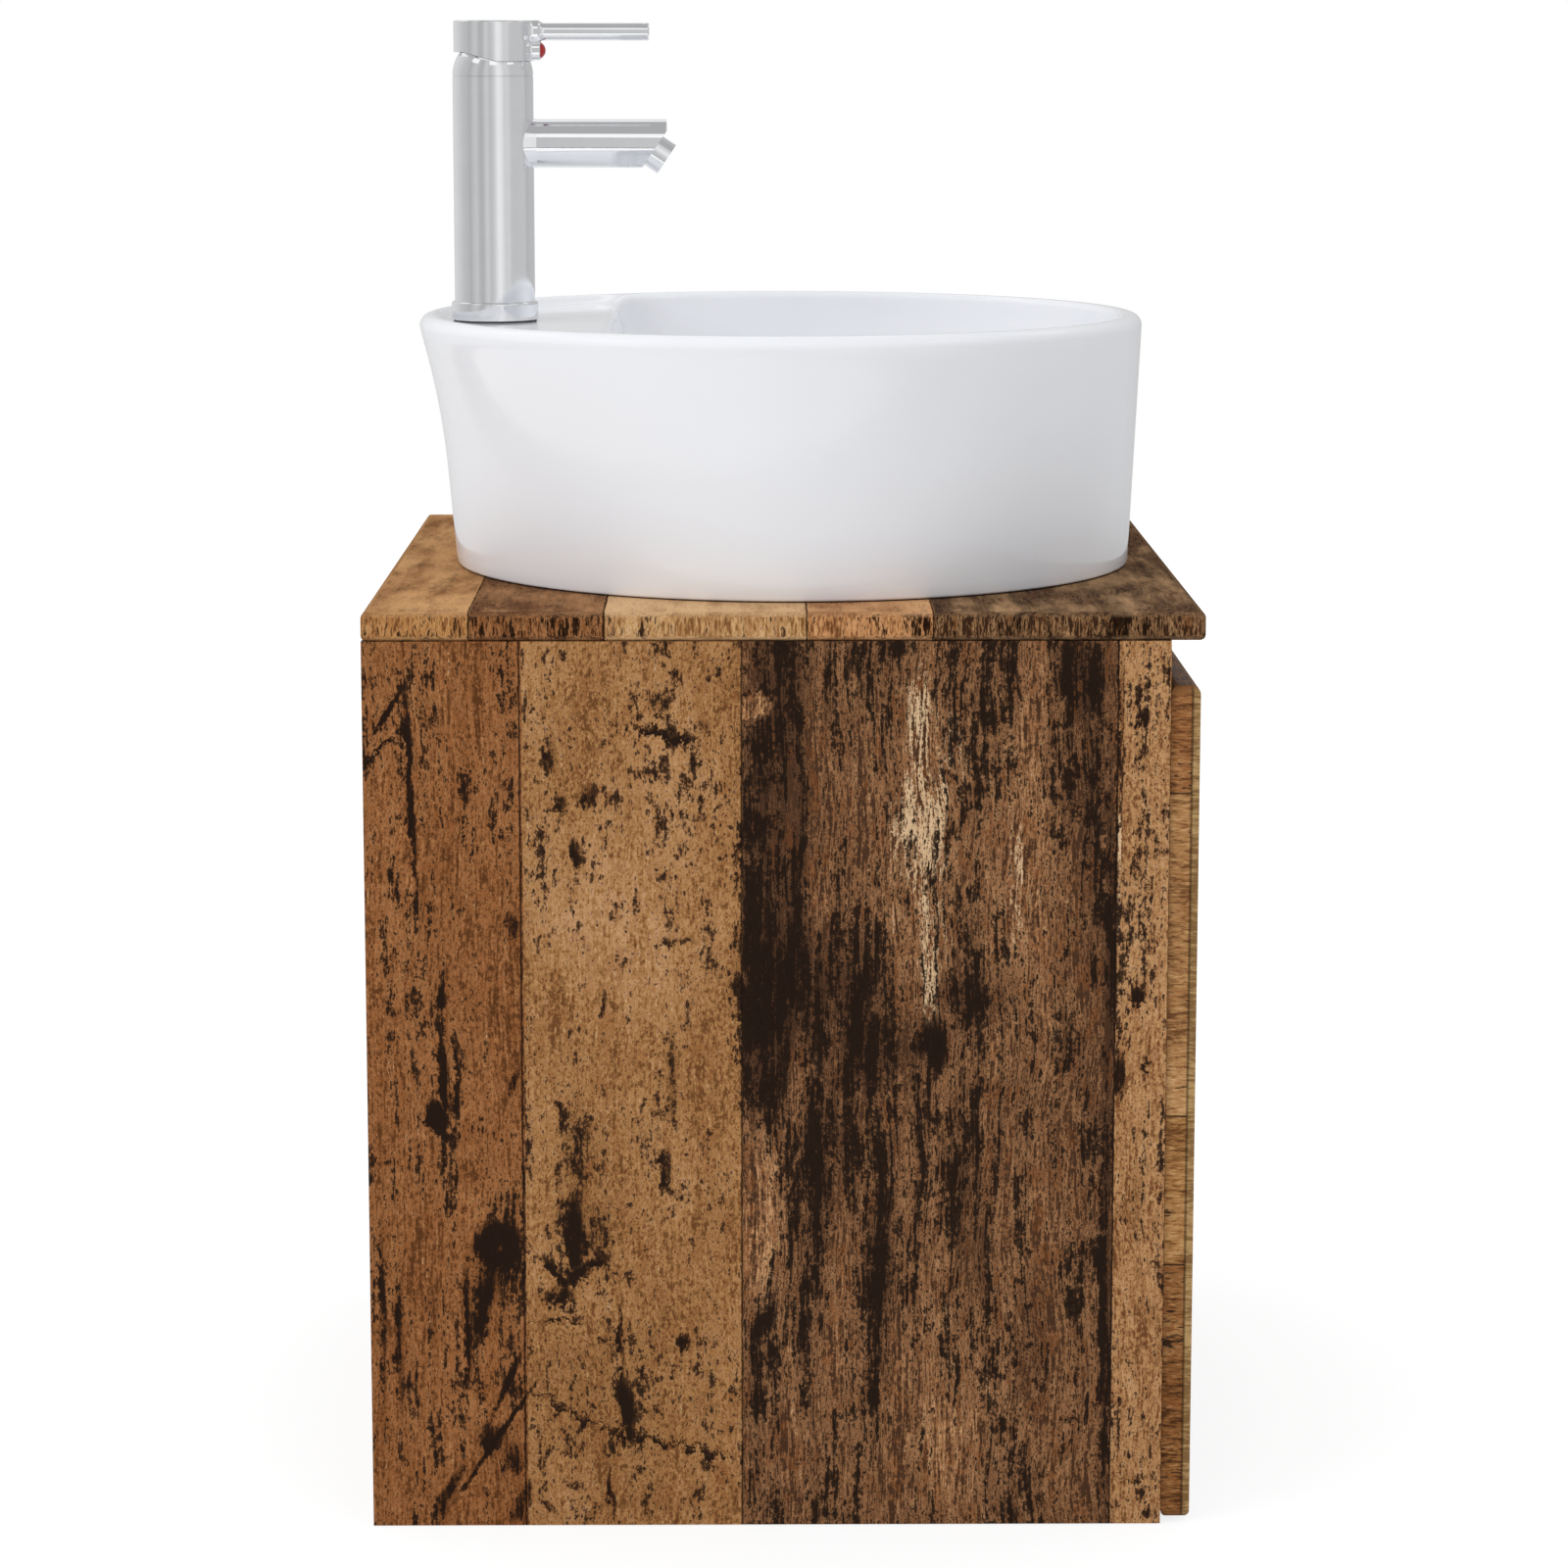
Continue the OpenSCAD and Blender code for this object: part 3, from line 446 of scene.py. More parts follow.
def old_wood(
    name, across, along, planks, marks=(), pale=(), shine=0.05, haze_sheen=0.0, clean_ends=0.0,
    lip=None,
):
    """Planks of old wood side by side: streaks along the grain, pores full of dirt, worn tones
    and the marks of age. across and along are the axes of the planks' width and grain, 1 to 3,
    across with its sign. calm smooths the board's broad faces into soft smudges of lower
    contrast under a faint grey veil, partly worn wood and partly a painted sheen, clean_ends
    takes dirt and lines off the sawn ends, and lip is where the face's sheet folds round onto
    the ends."""
    f = Finish(name)
    ink = chosen("ink")
    where = f.place()
    normal = f.coordinates("Normal")
    thick = ({1, 2, 3} - {abs(across), along}).pop()
    w = where.part(thick - 1)
    # The pattern folds over the board's edges
    plank_u = where.part(abs(across) - 1) * (1.0 if across > 0 else -1.0)
    u = plank_u + w * abs(normal.part(abs(across) - 1))
    # and runs down the sawn ends in long lines
    sawn = abs(normal.part(along - 1))
    v = where.part(along - 1) + w * sawn * 0.1

    # What each plank is like
    share = plank_u / TABLE_WIDTH
    dark, middle, light = (
        f.steps(share, [(plank[0] / TABLE_WIDTH, tone(plank[k])) for plank in planks])
        for k in (1, 2, 3)
    )
    habits = f.steps(
        share,
        [
            (start / TABLE_WIDTH, ((pits - PITS_LOW) / PITS_RANGE, streaks, log, 1.0))
            for start, _, _, _, pits, streaks, log in planks
        ],
    )
    pitted = habits.part(0) * PITS_RANGE + PITS_LOW - sawn * clean_ends
    streaked = (habits.part(1) + sawn * 0.3) * (1.0 - sawn * (clean_ends * 0.75))
    shift = habits.part(2) * LOG_LENGTH

    # The grain sways slowly, and everything from the finest grit to the widest cloud follows it
    sway = f.noise(f.point(u * 0.012, v * 0.009 + shift, 0.0), 2.0) - 0.5
    grain = Grain(f, u + sway * 14.0 + shift, v + shift, w * 0.2)
    grit = grain.field(1.3, 2.2, 2.0, 0.8)
    fleck = grain.field(2.0, 3.4, 3.0, 0.65)
    blot = grain.field(8.0, 14.0, 3.0, 0.6)
    hair = grain.field(1.15, 15.0, 2.0, 0.6)
    thread = grain.field(2.2, 46.0, 3.0, 0.65)
    streak = grain.field(10.0, 160.0, 2.0, 0.55)
    cloud = grain.field(30.0, 70.0, 2.0, 0.5)

    # How dirty a place is, and how light its wood
    long_lines = (hair * 0.45 + thread * 0.65 + streak * 0.55) * streaked
    dirt = (
        grit * (streaked * 0.3 + 0.25) + fleck * 0.55 + blot * 0.5
        + cloud * (streaked * 0.3 + 0.15) + long_lines
        + pitted
    )
    if marks:
        ragged_u = u + fleck * 0.35 + blot * 0.5
        ragged_v = v + fleck * 0.8 + blot * 1.2
        dirt = dirt + marks_of(f, ragged_u, ragged_v, marks)
    level = (
        grit * 0.20 + fleck * 0.14 + (hair * 0.20 + thread * 0.18 + streak * 0.12) * streaked
        + blot * 0.10 + cloud * 0.12 + 0.5
    )

    # Joint lines between the planks
    seam = None
    half_joint = bpy.context.scene.washstand_sizes.plank_joint / MM / 2
    for start, *_ in planks[1:]:
        off = abs(plank_u + fleck * 0.12 - start)
        line = f.ease(off, half_joint * 0.5, half_joint * 1.6, 1.0, 0.0)
        seam = line if seam is None else seam.most(line)

    # The colours, one over the other
    body = f.blend(f.ease(level, -0.35, 0.6), dark, middle)
    body = f.blend(f.ease(level, 0.4, 1.3), body, light)
    rusty = f.ease(blot + fleck * 0.7, 0.1, 1.9, 0.0, 0.32)
    body = f.blend(rusty, body, tone("8A4F24"))
    if pale:
        worn = thread * 0.45 + hair * 0.5 + grit * 0.45 + marks_of(f, u, v, pale)
        body = f.blend(f.ease(worn, 1.9, 3.2, 0.0, 0.95), body, tone("DDBB92"))
    body = f.blend(f.ease(dirt, -0.9, 0.2, 0.0, 0.7), body, dark)
    dirty = f.ease(dirt, -0.25, 0.65, 0.0, 0.82) + f.ease(dirt, 0.65, 2.2, 0.0, 0.16)
    body = f.blend(dirty, body, ink)
    # On the broad faces: soft smudges of lower contrast, partly worn wood, under a faint grey
    # veil that is a painted sheen of gloss
    if haze_sheen:
        smudge = 0.05 - pitted * 0.45 + grain.field(12.0, 60.0, 3.0, 0.6) * 0.13 + cloud * 0.09
        sheen_veil = f.blend(0.06, f.blend(f.ease(smudge, 0.0, 1.0), dark, light), tone("B4ACA4"))
        body = f.blend(abs(normal.part(thick - 1)) * haze_sheen, body, sheen_veil)
    body = f.blend(seam * 0.9, body, ink)
    if lip is not None:
        folded = f.ease(w, lip + 0.25, lip - 0.25) * sawn
        rolled = f.blend(f.ease(level, 0.0, 1.2), tone("80603A"), tone("BA9766"))
        body = f.blend(folded, body, rolled)
        body = f.blend(f.ease(abs(w - lip), 0.3, 0.9, 0.6, 0.0) * sawn, body, ink)

    height = level * 0.35 - dirty * 0.5 - seam * 1.6
    rough = f.ease(level - dirty * 0.3, 0.1, 0.9, 0.50, 0.34)
    return f.surface(
        Base_Color=body,
        Roughness=rough,
        Specular_IOR_Level=shine,
        Normal=f.bump(height, 0.4 * MM, 0.6),
    )


# ---------- stage ----------

# The tent's folds as seen in polished metal: degrees round from the front of the view, and
# how bright the cloth is there
TENT_FOLDS = [
    (-180, 0.63), (-135, 0.76), (-111, 0.69), (-93, 0.59), (-77, 0.55), (-70, 0.49),
    (-57, 0.61), (-50, 0.64), (-38, 0.50), (-32, 0.51), (-20, 0.69), (-9, 0.58), (0, 0.67),
    (9, 0.87), (14, 0.95), (20, 0.91), (26, 0.82), (32, 0.71), (44, 0.73), (50, 0.64),
    (57, 0.61), (102, 0.61), (111, 0.52), (135, 0.56), (154, 0.54), (180, 0.63),
]
# The washstand's middle on the floor, and the heights that the tent and the lamps aim at
MIDDLE_Y = -0.2
TENT_HEIGHT = 0.6
LAMP_AIM_HEIGHT = 0.45
TENT_RADIUS = 2.0
# Each lamp: where it hangs, its size in metres and its power in watts
LAMPS = (
    ("top_lamp", (-0.5, -0.1, 2.6), 1.8, 9.5),
    ("side_lamp", (-1.9, 1.9, 1.5), 1.6, 18.0),
)


class StageOperator(bpy.types.Operator):
    """Sets up the camera, the pale floor and the soft studio light"""

    bl_idname = "washstand.stage"
    bl_label = "Stage"

    def execute(self, context):
        self.camera(context)
        self.floor(context)
        self.tent(context)
        self.world(context)
        self.lamps(context)
        context.scene.view_settings.view_transform = "Standard"
        return {"FINISHED"}

    def hang(self, context, name, data, place, ahead):
        """Puts the camera or a lamp in its place, facing ahead."""
        made = bpy.data.objects.new(name, data)
        made.location = place
        made.rotation_mode = "QUATERNION"
        made.rotation_quaternion = ahead.to_track_quat("-Z", "Y")
        context.scene.collection.objects.link(made)
        return made

    def camera(self, context):
        """A long lens on the left side, looking slightly down."""
        data = bpy.data.cameras.new("camera")
        data.lens = 94.31
        data.sensor_width = 36.0
        data.shift_y = -0.09
        data.clip_start = 0.05
        data.clip_end = 50.0
        pitch, yaw = math.radians(8.315), math.radians(-0.484)
        ahead = Vector(
            (math.cos(pitch) * math.cos(yaw), math.cos(pitch) * math.sin(yaw), -math.sin(pitch))
        )
        place = (-2.1285, -0.1840, 0.7164)
        context.scene.camera = self.hang(context, "camera", data, place, ahead)

    def shown(self, f):
        """1 for rays that show the background as such, 0 for light that falls on things."""
        seen = f.node("LightPath", {}, {}, "Is Camera Ray")
        for ray in ("Is Glossy Ray", "Is Transmission Ray"):
            seen = seen.most(f.node("LightPath", {}, {}, ray))
        return seen

    def floor(self, context):
        """A pale floor that keeps the shadow near the washstand and turns white further out."""
        just_under = -0.5 * MM
        bm = bmesh.new()
        bmesh.ops.create_circle(bm, cap_ends=True, segments=96, radius=4.0)
        bmesh.ops.translate(bm, vec=(0.0, MIDDLE_Y, just_under), verts=bm.verts)
        floor = as_object(context, "floor", bm)

        f = Finish("pale_floor")
        lit = f.node("BsdfDiffuse", {}, {"Color": chosen("floor")})
        white = f.node("Emission", {}, {"Color": WHITE, "Strength": 1.12})
        where = f.coordinates("Object")
        centred = f.vectors("ADD", where, (0.0, -MIDDLE_Y, 0.0))
        far = f.vectors("LENGTH", centred, out="Value")
        fade = f.ease(far, 0.15, 0.9, 0.72, 1.0)
        look = f.node("MixShader", {}, {0: fade, 1: lit, 2: white})
        both = f.node("MixShader", {}, {0: self.shown(f), 1: lit, 2: look})
        floor.data.materials.append(f.ends(both))

    def tent(self, context):
        """A grey studio tent round the object, which only reflections see. Its cloth hangs in
        lighter and darker folds, with six box lights above them, a plain top and a dark
        skirt."""
        centre = Vector((0.0, MIDDLE_Y, TENT_HEIGHT))
        bm = bmesh.new()
        bmesh.ops.create_uvsphere(bm, u_segments=64, v_segments=32, radius=TENT_RADIUS)
        bmesh.ops.translate(bm, vec=centre, verts=bm.verts)
        bmesh.ops.reverse_faces(bm, faces=bm.faces)
        tent = as_object(context, "studio_tent", bm)
        tent.visible_camera = False
        tent.visible_diffuse = False
        tent.visible_transmission = False
        tent.visible_shadow = False

        f = Finish("tent_cloth")
        where = f.coordinates("Object")
        aim = f.vectors("SUBTRACT", where, centre)
        turn = aim.sums("ARCTAN2", aim.part(1) * -1.0, aim.part(0) * -1.0)
        folds = f.steps(
            turn / math.tau + 0.5,
            [(turn_at / 360 + 0.5, shade(WHITE, bright)) for turn_at, bright in TENT_FOLDS],
            "LINEAR",
        )
        rise = aim.part(2) / TENT_RADIUS
        six_round = turn.sums("COSINE", turn * 6.0)
        boxes = f.ease(rise, 0.52, 0.56) * f.ease(six_round, 0.1, 0.5)
        cloth = f.blend(boxes, folds, shade(WHITE, 1.1))
        cloth = f.blend(f.ease(rise, 0.74, 0.79), cloth, shade(WHITE, 0.47))
        cloth = f.blend(f.ease(rise, -0.27, -0.24, 1.0, 0.0), cloth, shade(WHITE, 0.25))
        glow = f.node("Emission", {}, {"Color": cloth, "Strength": 1.0})
        tent.data.materials.append(f.ends(glow))

    def world(self, context):
        """White where the background is seen, a pale grey room for the light that it sheds."""
        world = bpy.data.worlds.new("studio")
        f = Finish("studio", world)
        room = (0.73, 0.735, 0.745, 1.0)
        air = f.blend(self.shown(f), room, WHITE)
        sky = f.node("Background", {}, {"Color": air, "Strength": 1.0})
        f.node("OutputWorld", {}, {"Surface": sky})
        context.scene.world = world

    def lamps(self, context):
        """Two soft lamps that reflections don't see."""
        middle = Vector((0.0, MIDDLE_Y, LAMP_AIM_HEIGHT))
        for name, place, size, power in LAMPS:
            data = bpy.data.lights.new(name, "AREA")
            data.shape = "DISK"
            data.size = size
            data.energy = power
            lamp = self.hang(context, name, data, place, middle - Vector(place))
            lamp.visible_glossy = False


# ---------- boards ----------


class BoardsOperator(bpy.types.Operator):
    """Gives the cabinet's boards and the drawer front their old wood"""

    bl_idname = "washstand.boards"
    bl_label = "Old wood boards"

    def execute(self, context):
        left = old_wood("old_wood_left", -2, 3, SIDE_PLANKS, LEFT_MARKS, LEFT_PALE)
        wear(left, "side_panel_left")
        wear(old_wood("old_wood_right", -2, 3, SIDE_PLANKS), "side_panel_right")
        # The top has no gloss of its own; a painted sheen, a faint grey veil over softened
        # contrast, lies on its face instead
        top = old_wood("old_wood_top", -2, 1, TOP_PLANKS, shine=0.0, haze_sheen=0.6)
        wear(top, "top_board")
        lip_width = 3.8
        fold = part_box("drawer_front")[0].y / MM + lip_width
        front = old_wood("old_wood_front", 3, 1, FRONT_PLANKS, clean_ends=0.8, lip=fold)
        wear(front, "drawer_front")
        wear(old_wood("old_wood_inside", -2, 1, HIDDEN_PLANKS), "bottom_panel")
        rails = old_wood("old_wood_rails", 3, 1, HIDDEN_PLANKS)
        wear(rails, "rear_top_rail", "rear_bottom_rail", "front_stretcher")
        return {"FINISHED"}


class DrawerBoxOperator(bpy.types.Operator):
    """Gives the drawer box its pale boards"""

    bl_idname = "washstand.drawer_box"
    bl_label = "Drawer box"

    def execute(self, context):
        f = Finish("drawer_board")
        where = f.place()
        base = chosen("drawer_board")
        lying = f.point(where.part(0), where.part(1), where.part(2) * 9.0)
        grain = f.noise(lying, 3.0, 0.6, 0.05)
        speck = f.noise(where, 2.0, 0.6, 1.4)
        level = grain * 0.8 + speck * 0.35
        board = f.surface(
            Base_Color=f.blend(f.ease(level, 0.4, 0.8), shade(base, 0.82), base),
            Roughness=f.ease(speck, 0.3, 0.7, 0.42, 0.56),
            Normal=f.bump(level, 0.1 * MM, 0.5),
        )
        wear(
            board, "drawer_subfront", "drawer_side_left", "drawer_side_right",
            "drawer_back_left", "drawer_back_right", "notch_wall_left", "notch_wall_right",
            "notch_wall_front", "drawer_bottom",
        )
        return {"FINISHED"}


# ---------- basin ----------


def smooth(value, low, high):
    """Goes gently from 0 to 1 as value goes from low to high."""
    share = min(max((value - low) / (high - low), 0.0), 1.0)
    return share * share * (3.0 - 2.0 * share)


class BasinShape:
    """The basin's sections in millimetres. A point is given by its direction from the
    drain's axis; each function gives how far out a surface is in that direction."""

    # The rim's outer radius, and how far in the wall's foot stands at the back and in front
    rim_r = 186.4
    back_lean = 18.2
    front_lean = 6.2
    # The share of the height where the back comes upright, and how hollow it is below that
    flare_end = 0.95
    flare_fullness = 3.4
    # The bowl: its corners at the deck, how far its wall leans in, the rounding between wall
    # and floor and where that rounding stops, and its floor and drain above the foot
    corner = 32.0
    bowl_lean = 8.0
    bowl_round = 52.0
    bowl_steep = math.radians(72)
    floor_rise = 28.0
    drain_rise = 22.5
    # The waste's seat and hole, and the drain's axis out from the wall
    seat = 31.5
    hole = 22.5
    drain_y = -205.0
    # The deck: its thickness, the width of its outer edge, and the gaps between bowl and wall
    # where it starts and where it lies at its full depth
    deck_thick = 10.0
    deck_edge = 9.0
    deck_gaps = (14.0, 34.0)
    # The small chamfers under the drain's hole and inside the foot
    chamfer = 0.6

    def __init__(self, sizes):
        low, high = (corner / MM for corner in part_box("basin"))
        self.foot_z = low.z
        self.rim_z = high.z
        self.height = high.z - low.z
        self.back_y = high.y
        self.rim_y = self.back_y - self.rim_r
        self.rounding = sizes.rim_rounding / MM
        self.mouth = sizes.mouth_rounding / MM
        self.step = sizes.rim_step / MM
        self.thick = sizes.ceramic_thickness / MM
        self.chord = -sizes.deck_front / MM
        self.bowl_r = self.rim_r - sizes.rim_width / MM
        self.floor_z = self.foot_z + self.floor_rise
        self.drain_z = self.foot_z + self.drain_rise
        self.meets = {}

    def circle(self, angle, centre_y, radius):
        """How far out a circle on the basin's middle line is."""
        off = centre_y - self.drain_y
        along = off * math.sin(angle)
        return along + math.sqrt(along * along - off * off + radius * radius)

    def wall(self, angle, z, inset):
        """The wall's outer face, or a face that lies further in by inset."""
        t = (z - self.foot_z) / self.height
        s = min(max(t, 0.0) / self.flare_end, 1.0)
        lean = self.back_lean * (1 - s) + self.flare_fullness * math.sin(math.pi * s**1.3)
        back = self.back_y - lean - inset
        front = self.back_y - 2 * self.rim_r + self.front_lean * (1 - t) + inset
        return self.circle(angle, (back + front) / 2, (back - front) / 2)

    def bowl(self, angle, inset):
        """The bowl's outline: the rim's circle cut straight by the deck, corners rounded."""
        r = self.bowl_r - inset
        least_corner = 12.0
        corner = max(self.corner - inset / 3, least_corner)
        chord = self.chord - inset
        cy = chord - corner
        cx = math.sqrt((r - corner) ** 2 - (cy - self.rim_y) ** 2)
        lean = math.atan2(cy - self.rim_y, cx)
        folded = math.atan2(math.sin(angle), abs(math.cos(angle)))
        first = math.atan2(
            self.rim_y + r * math.sin(lean) - self.drain_y, r * math.cos(lean)
        )
        last = math.atan2(chord - self.drain_y, cx)
        if folded <= first:
            return self.circle(angle, self.rim_y, r)
        if folded >= last:
            return (chord - self.drain_y) / math.sin(folded)
        off = cy - self.drain_y
        along = cx * math.cos(folded) + off * math.sin(folded)
        return along + math.sqrt(along * along - cx * cx - off * off + corner * corner)

    def deck(self, angle):
        """1 where the tap deck lies behind the bowl, 0 along the plain rim."""
        gap = self.wall(angle, self.rim_z, 0.0) - self.bowl(angle, 0.0)
        return smooth(gap, *self.deck_gaps)

    def hollow(self, angle, z):
        """The wall's inner face, under the deck."""
        return self.wall(angle, z, self.thick + 2 * (z - self.foot_z) / self.height)

    def shell(self, angle, z):
        """The bowl's underside."""
        knee = self.floor_z + self.bowl_round - self.thick
        inset = self.bowl_lean - self.thick
        if z >= knee:
            inset -= self.bowl_lean * (z - knee) / (self.rim_z - self.step - knee)
        else:
            turn = math.asin(min((knee - z) / self.bowl_round, 0.96))
            inset += self.bowl_round * (1 - math.cos(turn))
        return self.bowl(angle, inset)

    def meet(self, angle):
        """The height where the hollow ends: under the deck, or where the wall meets the bowl."""
        key = round(angle, 6)
        halvings, lowest = 24, self.foot_z + 30.0
        if key not in self.meets:
            low, high = lowest, self.rim_z - self.step - self.deck_thick
            if self.hollow(angle, high) < self.shell(angle, high):
                for _ in range(halvings):
                    middle = (low + high) / 2
                    if self.hollow(angle, middle) > self.shell(angle, middle):
                        low = middle
                    else:
                        high = middle
            self.meets[key] = high
        return self.meets[key]

    def rings(self):
        """Every ring of the closed skin, from the drain up the bowl, over the rim, down the
        wall and back under the bowl: functions of the direction."""
        made = []
        ring = made.append
        quarter = math.radians(90)
        thin_floor = self.drain_z - self.thick
        for out, z in (
            (self.hole, thin_floor + self.chamfer), (self.hole, self.drain_z - 0.7),
            (self.hole + 0.2, self.drain_z - 0.2), (self.hole + 0.7, self.drain_z),
            (self.seat - 0.5, self.drain_z), (self.seat, self.drain_z + 0.1),
        ):
            ring(lambda a, out=out, z=z: (out, z))
        # The bowl's floor, its rounding, its wall and the rounding at its mouth
        knee = self.floor_z + self.bowl_round
        floor_inset = self.bowl_lean + self.bowl_round * (1 - math.cos(self.bowl_steep))
        floor_top = knee - self.bowl_round * math.sin(self.bowl_steep)
        for k in range(1, 8):
            g = k / 8
            z = self.drain_z + 0.1 + (floor_top - self.drain_z - 0.1) * (g * 0.7 + g * g * 0.3)
            ring(lambda a, g=g, z=z: (
                self.seat + (self.bowl(a, floor_inset) - self.seat) * g, z))
        for k in range(0, 13):
            turn = self.bowl_steep * (1 - k / 12)
            inset = self.bowl_lean + self.bowl_round * (1 - math.cos(turn))
            z = knee - self.bowl_round * math.sin(turn)
            ring(lambda a, inset=inset, z=z: (self.bowl(a, inset), z))
        for k in range(1, 8):
            g = k / 8
            ring(lambda a, g=g: (
                self.bowl(a, self.bowl_lean * (1 - g) ** 1.4),
                knee + (self.top(a) - self.mouth - knee) * g))
        for k in range(0, 9):
            turn = quarter * k / 8
            ring(lambda a, turn=turn: (
                self.bowl(a, -self.mouth * (1 - math.cos(turn))),
                self.top(a) - self.mouth * (1 - math.sin(turn))))
        # The deck or the plain rim, the rim's outer rounding and the wall
        for share in (0.94, 0.8, 0.62, 0.45, 0.3, 0.22, 0.18, 0.155, 0.13, 0.11, 0.09, 0.07,
                      0.05, 0.03, 0.01):
            ring(lambda a, share=share: self.deck_point(a, share))
        for k in range(0, 11):
            turn = quarter * (1 - k / 10)
            inset = self.rounding * (1 - math.cos(turn))
            z = self.rim_z - self.rounding * (1 - math.sin(turn))
            ring(lambda a, inset=inset, z=z: (self.wall(a, z, inset), z))
        wall_top = self.rim_z - self.rounding
        for k in range(1, 25):
            z = wall_top - (wall_top - self.foot_z - 0.4) * k / 24
            ring(lambda a, z=z: (self.wall(a, z, 0.0), z))
        # The foot, and back up inside and under the bowl to the drain
        for inset, z in (
            (0.2, -0.4), (0.7, -0.8), (1.3, -0.8), (1.8, -0.4), (2.0, 0.0),
            (self.thick - 0.8, 0.0), (self.thick, self.chamfer),
        ):
            ring(lambda a, inset=inset, z=self.foot_z + z: (self.wall(a, z, inset), z))
        for k in range(1, 9):
            ring(lambda a, g=k / 8: self.up_hollow(a, g))
        for k in range(0, 13):
            ring(lambda a, g=k / 12: self.under_bowl(a, g))
        for share in (0.66, 0.33, 0.0):
            ring(lambda a, g=share: self.under_floor(a, g))
        ring(lambda a: (self.hole + self.chamfer, thin_floor))
        return made

    def top(self, angle):
        """The height of the rim, or of the deck where it lies."""
        return self.rim_z - self.step * self.deck(angle)

    def deck_point(self, angle, share):
        """A point on the rim or deck: share is 1 at the bowl's mouth, 0 at the outer edge."""
        inner = self.bowl(angle, -self.mouth)
        crest = self.wall(angle, self.rim_z, self.rounding)
        off = (crest - inner) * share
        drop = self.step * self.deck(angle) * smooth(off, 0.0, self.deck_edge)
        return crest - off, self.rim_z - drop

    def up_hollow(self, angle, share):
        """A point on the wall's inner face: share is 0 at the foot, 1 where the hollow ends."""
        start = self.foot_z + self.chamfer
        z = start + (self.meet(angle) - start) * share
        return self.hollow(angle, z), z

    def under_bowl(self, angle, share):
        """A point on the bowl's underside: share is 0 at its top, 1 beside the floor."""
        top = self.meet(angle)
        low = self.floor_z + self.bowl_round - self.thick - self.bowl_round * 0.95
        z = top + (low - top) * share
        return min(self.shell(angle, z), self.hollow(angle, top) - 0.4), z

    def under_floor(self, angle, share):
        """A point under the bowl's floor: share is 1 at its outer end, 0 near the drain."""
        outer, z = self.under_bowl(angle, 1.0)
        base = self.drain_z - self.thick
        inner = self.seat + self.thick / 2
        return inner + (outer - inner) * share, base + (z - base) * share


class BasinOperator(bpy.types.Operator):
    """Models the glazed basin in one closed skin"""

    bl_idname = "washstand.basin"
    bl_label = "Basin"

    segments = 256

    def execute(self, context):
        """Grows the skin ring by ring, then closes the last ring onto the first."""
        shape = BasinShape(context.scene.washstand_sizes)
        bm = bmesh.new()
        bmesh.ops.create_circle(bm, cap_ends=False, segments=self.segments, radius=1.0)
        first = None
        edges = list(bm.edges)
        points = list(bm.verts)
        for ring in shape.rings():
            if first is None:
                first = edges
                angles = {p: math.atan2(p.co.y, p.co.x) for p in points}
            else:
                grown = bmesh.ops.extrude_edge_only(bm, edges=edges)["geom"]
                points = [g for g in grown if isinstance(g, bmesh.types.BMVert)]
                inside = set(points)
                edges = [
                    g for g in grown
                    if isinstance(g, bmesh.types.BMEdge) and inside.issuperset(g.verts)
                ]
                angles = {p: math.atan2(p.co.y - shape.drain_y, p.co.x) for p in points}
            for p in points:
                out, z = ring(angles[p])
                p.co = (out * math.cos(angles[p]), shape.drain_y + out * math.sin(angles[p]), z)
        bmesh.ops.bridge_loops(bm, edges=first + edges)
        bmesh.ops.scale(bm, vec=(MM, MM, MM), verts=bm.verts)
        bmesh.ops.recalc_face_normals(bm, faces=bm.faces)
        for face in bm.faces:
            face.smooth = True
        basin = as_object(context, "glazed_basin", bm)
        self.tap_hole(context, basin)
        basin.data.materials.append(self.glaze())
        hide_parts("basin")
        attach(basin, "cabinet")
        return {"FINISHED"}

    def tap_hole(self, context, basin):
        """Cuts the tap's hole through the deck."""
        hole_radius, cut_depth, deck_height = 0.0175, 0.03, 0.570
        low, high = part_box("tap_body")
        tap_y = high.y - (high.x - low.x) / 2
        bm = bmesh.new()
        bmesh.ops.create_cone(
            bm, cap_ends=True, segments=64, radius1=hole_radius, radius2=hole_radius,
            depth=cut_depth,
        )
        bmesh.ops.translate(bm, vec=(0.0, tap_y, deck_height), verts=bm.verts)
        cutter = as_object(context, "tap_hole", bm)
        cut = basin.modifiers.new("tap_hole", "BOOLEAN")
        cut.object = cutter
        cut.operation = "DIFFERENCE"
        context.view_layer.update()
        done = bpy.data.meshes.new_from_object(
            basin.evaluated_get(context.evaluated_depsgraph_get())
        )
        bm = bmesh.new()
        bm.from_mesh(done)
        bmesh.ops.dissolve_degenerate(bm, dist=0.001 * MM, edges=bm.edges)
        bm.to_mesh(done)
        bm.free()
        basin.modifiers.clear()
        basin.data = done
        bpy.data.objects.remove(cutter)

    def glaze(self):
        """A white glaze, a little cooler in places, with a faint ripple and pinholes."""
        f = Finish("glazed_ceramic")
        where = f.place()
        white = chosen("glaze")
        cool = shade(white, 0.97, 0.975, 0.985)
        drift = f.noise(where, 2.0, 0.5, 0.012)
        ripple = f.noise(where, 2.0, 0.5, 0.05)
        pin = f.noise(where, 1.0, 0.5, 0.9)
        return f.surface(
            Base_Color=f.blend(drift, white, cool),
            Roughness=f.ease(drift * 0.6 + pin * 0.4, 0.3, 0.7, 0.05, 0.10),
            Normal=f.bump(ripple + pin * 0.05, 0.3 * MM, 0.25),
        )


# ---------- tap, drain and fittings ----------


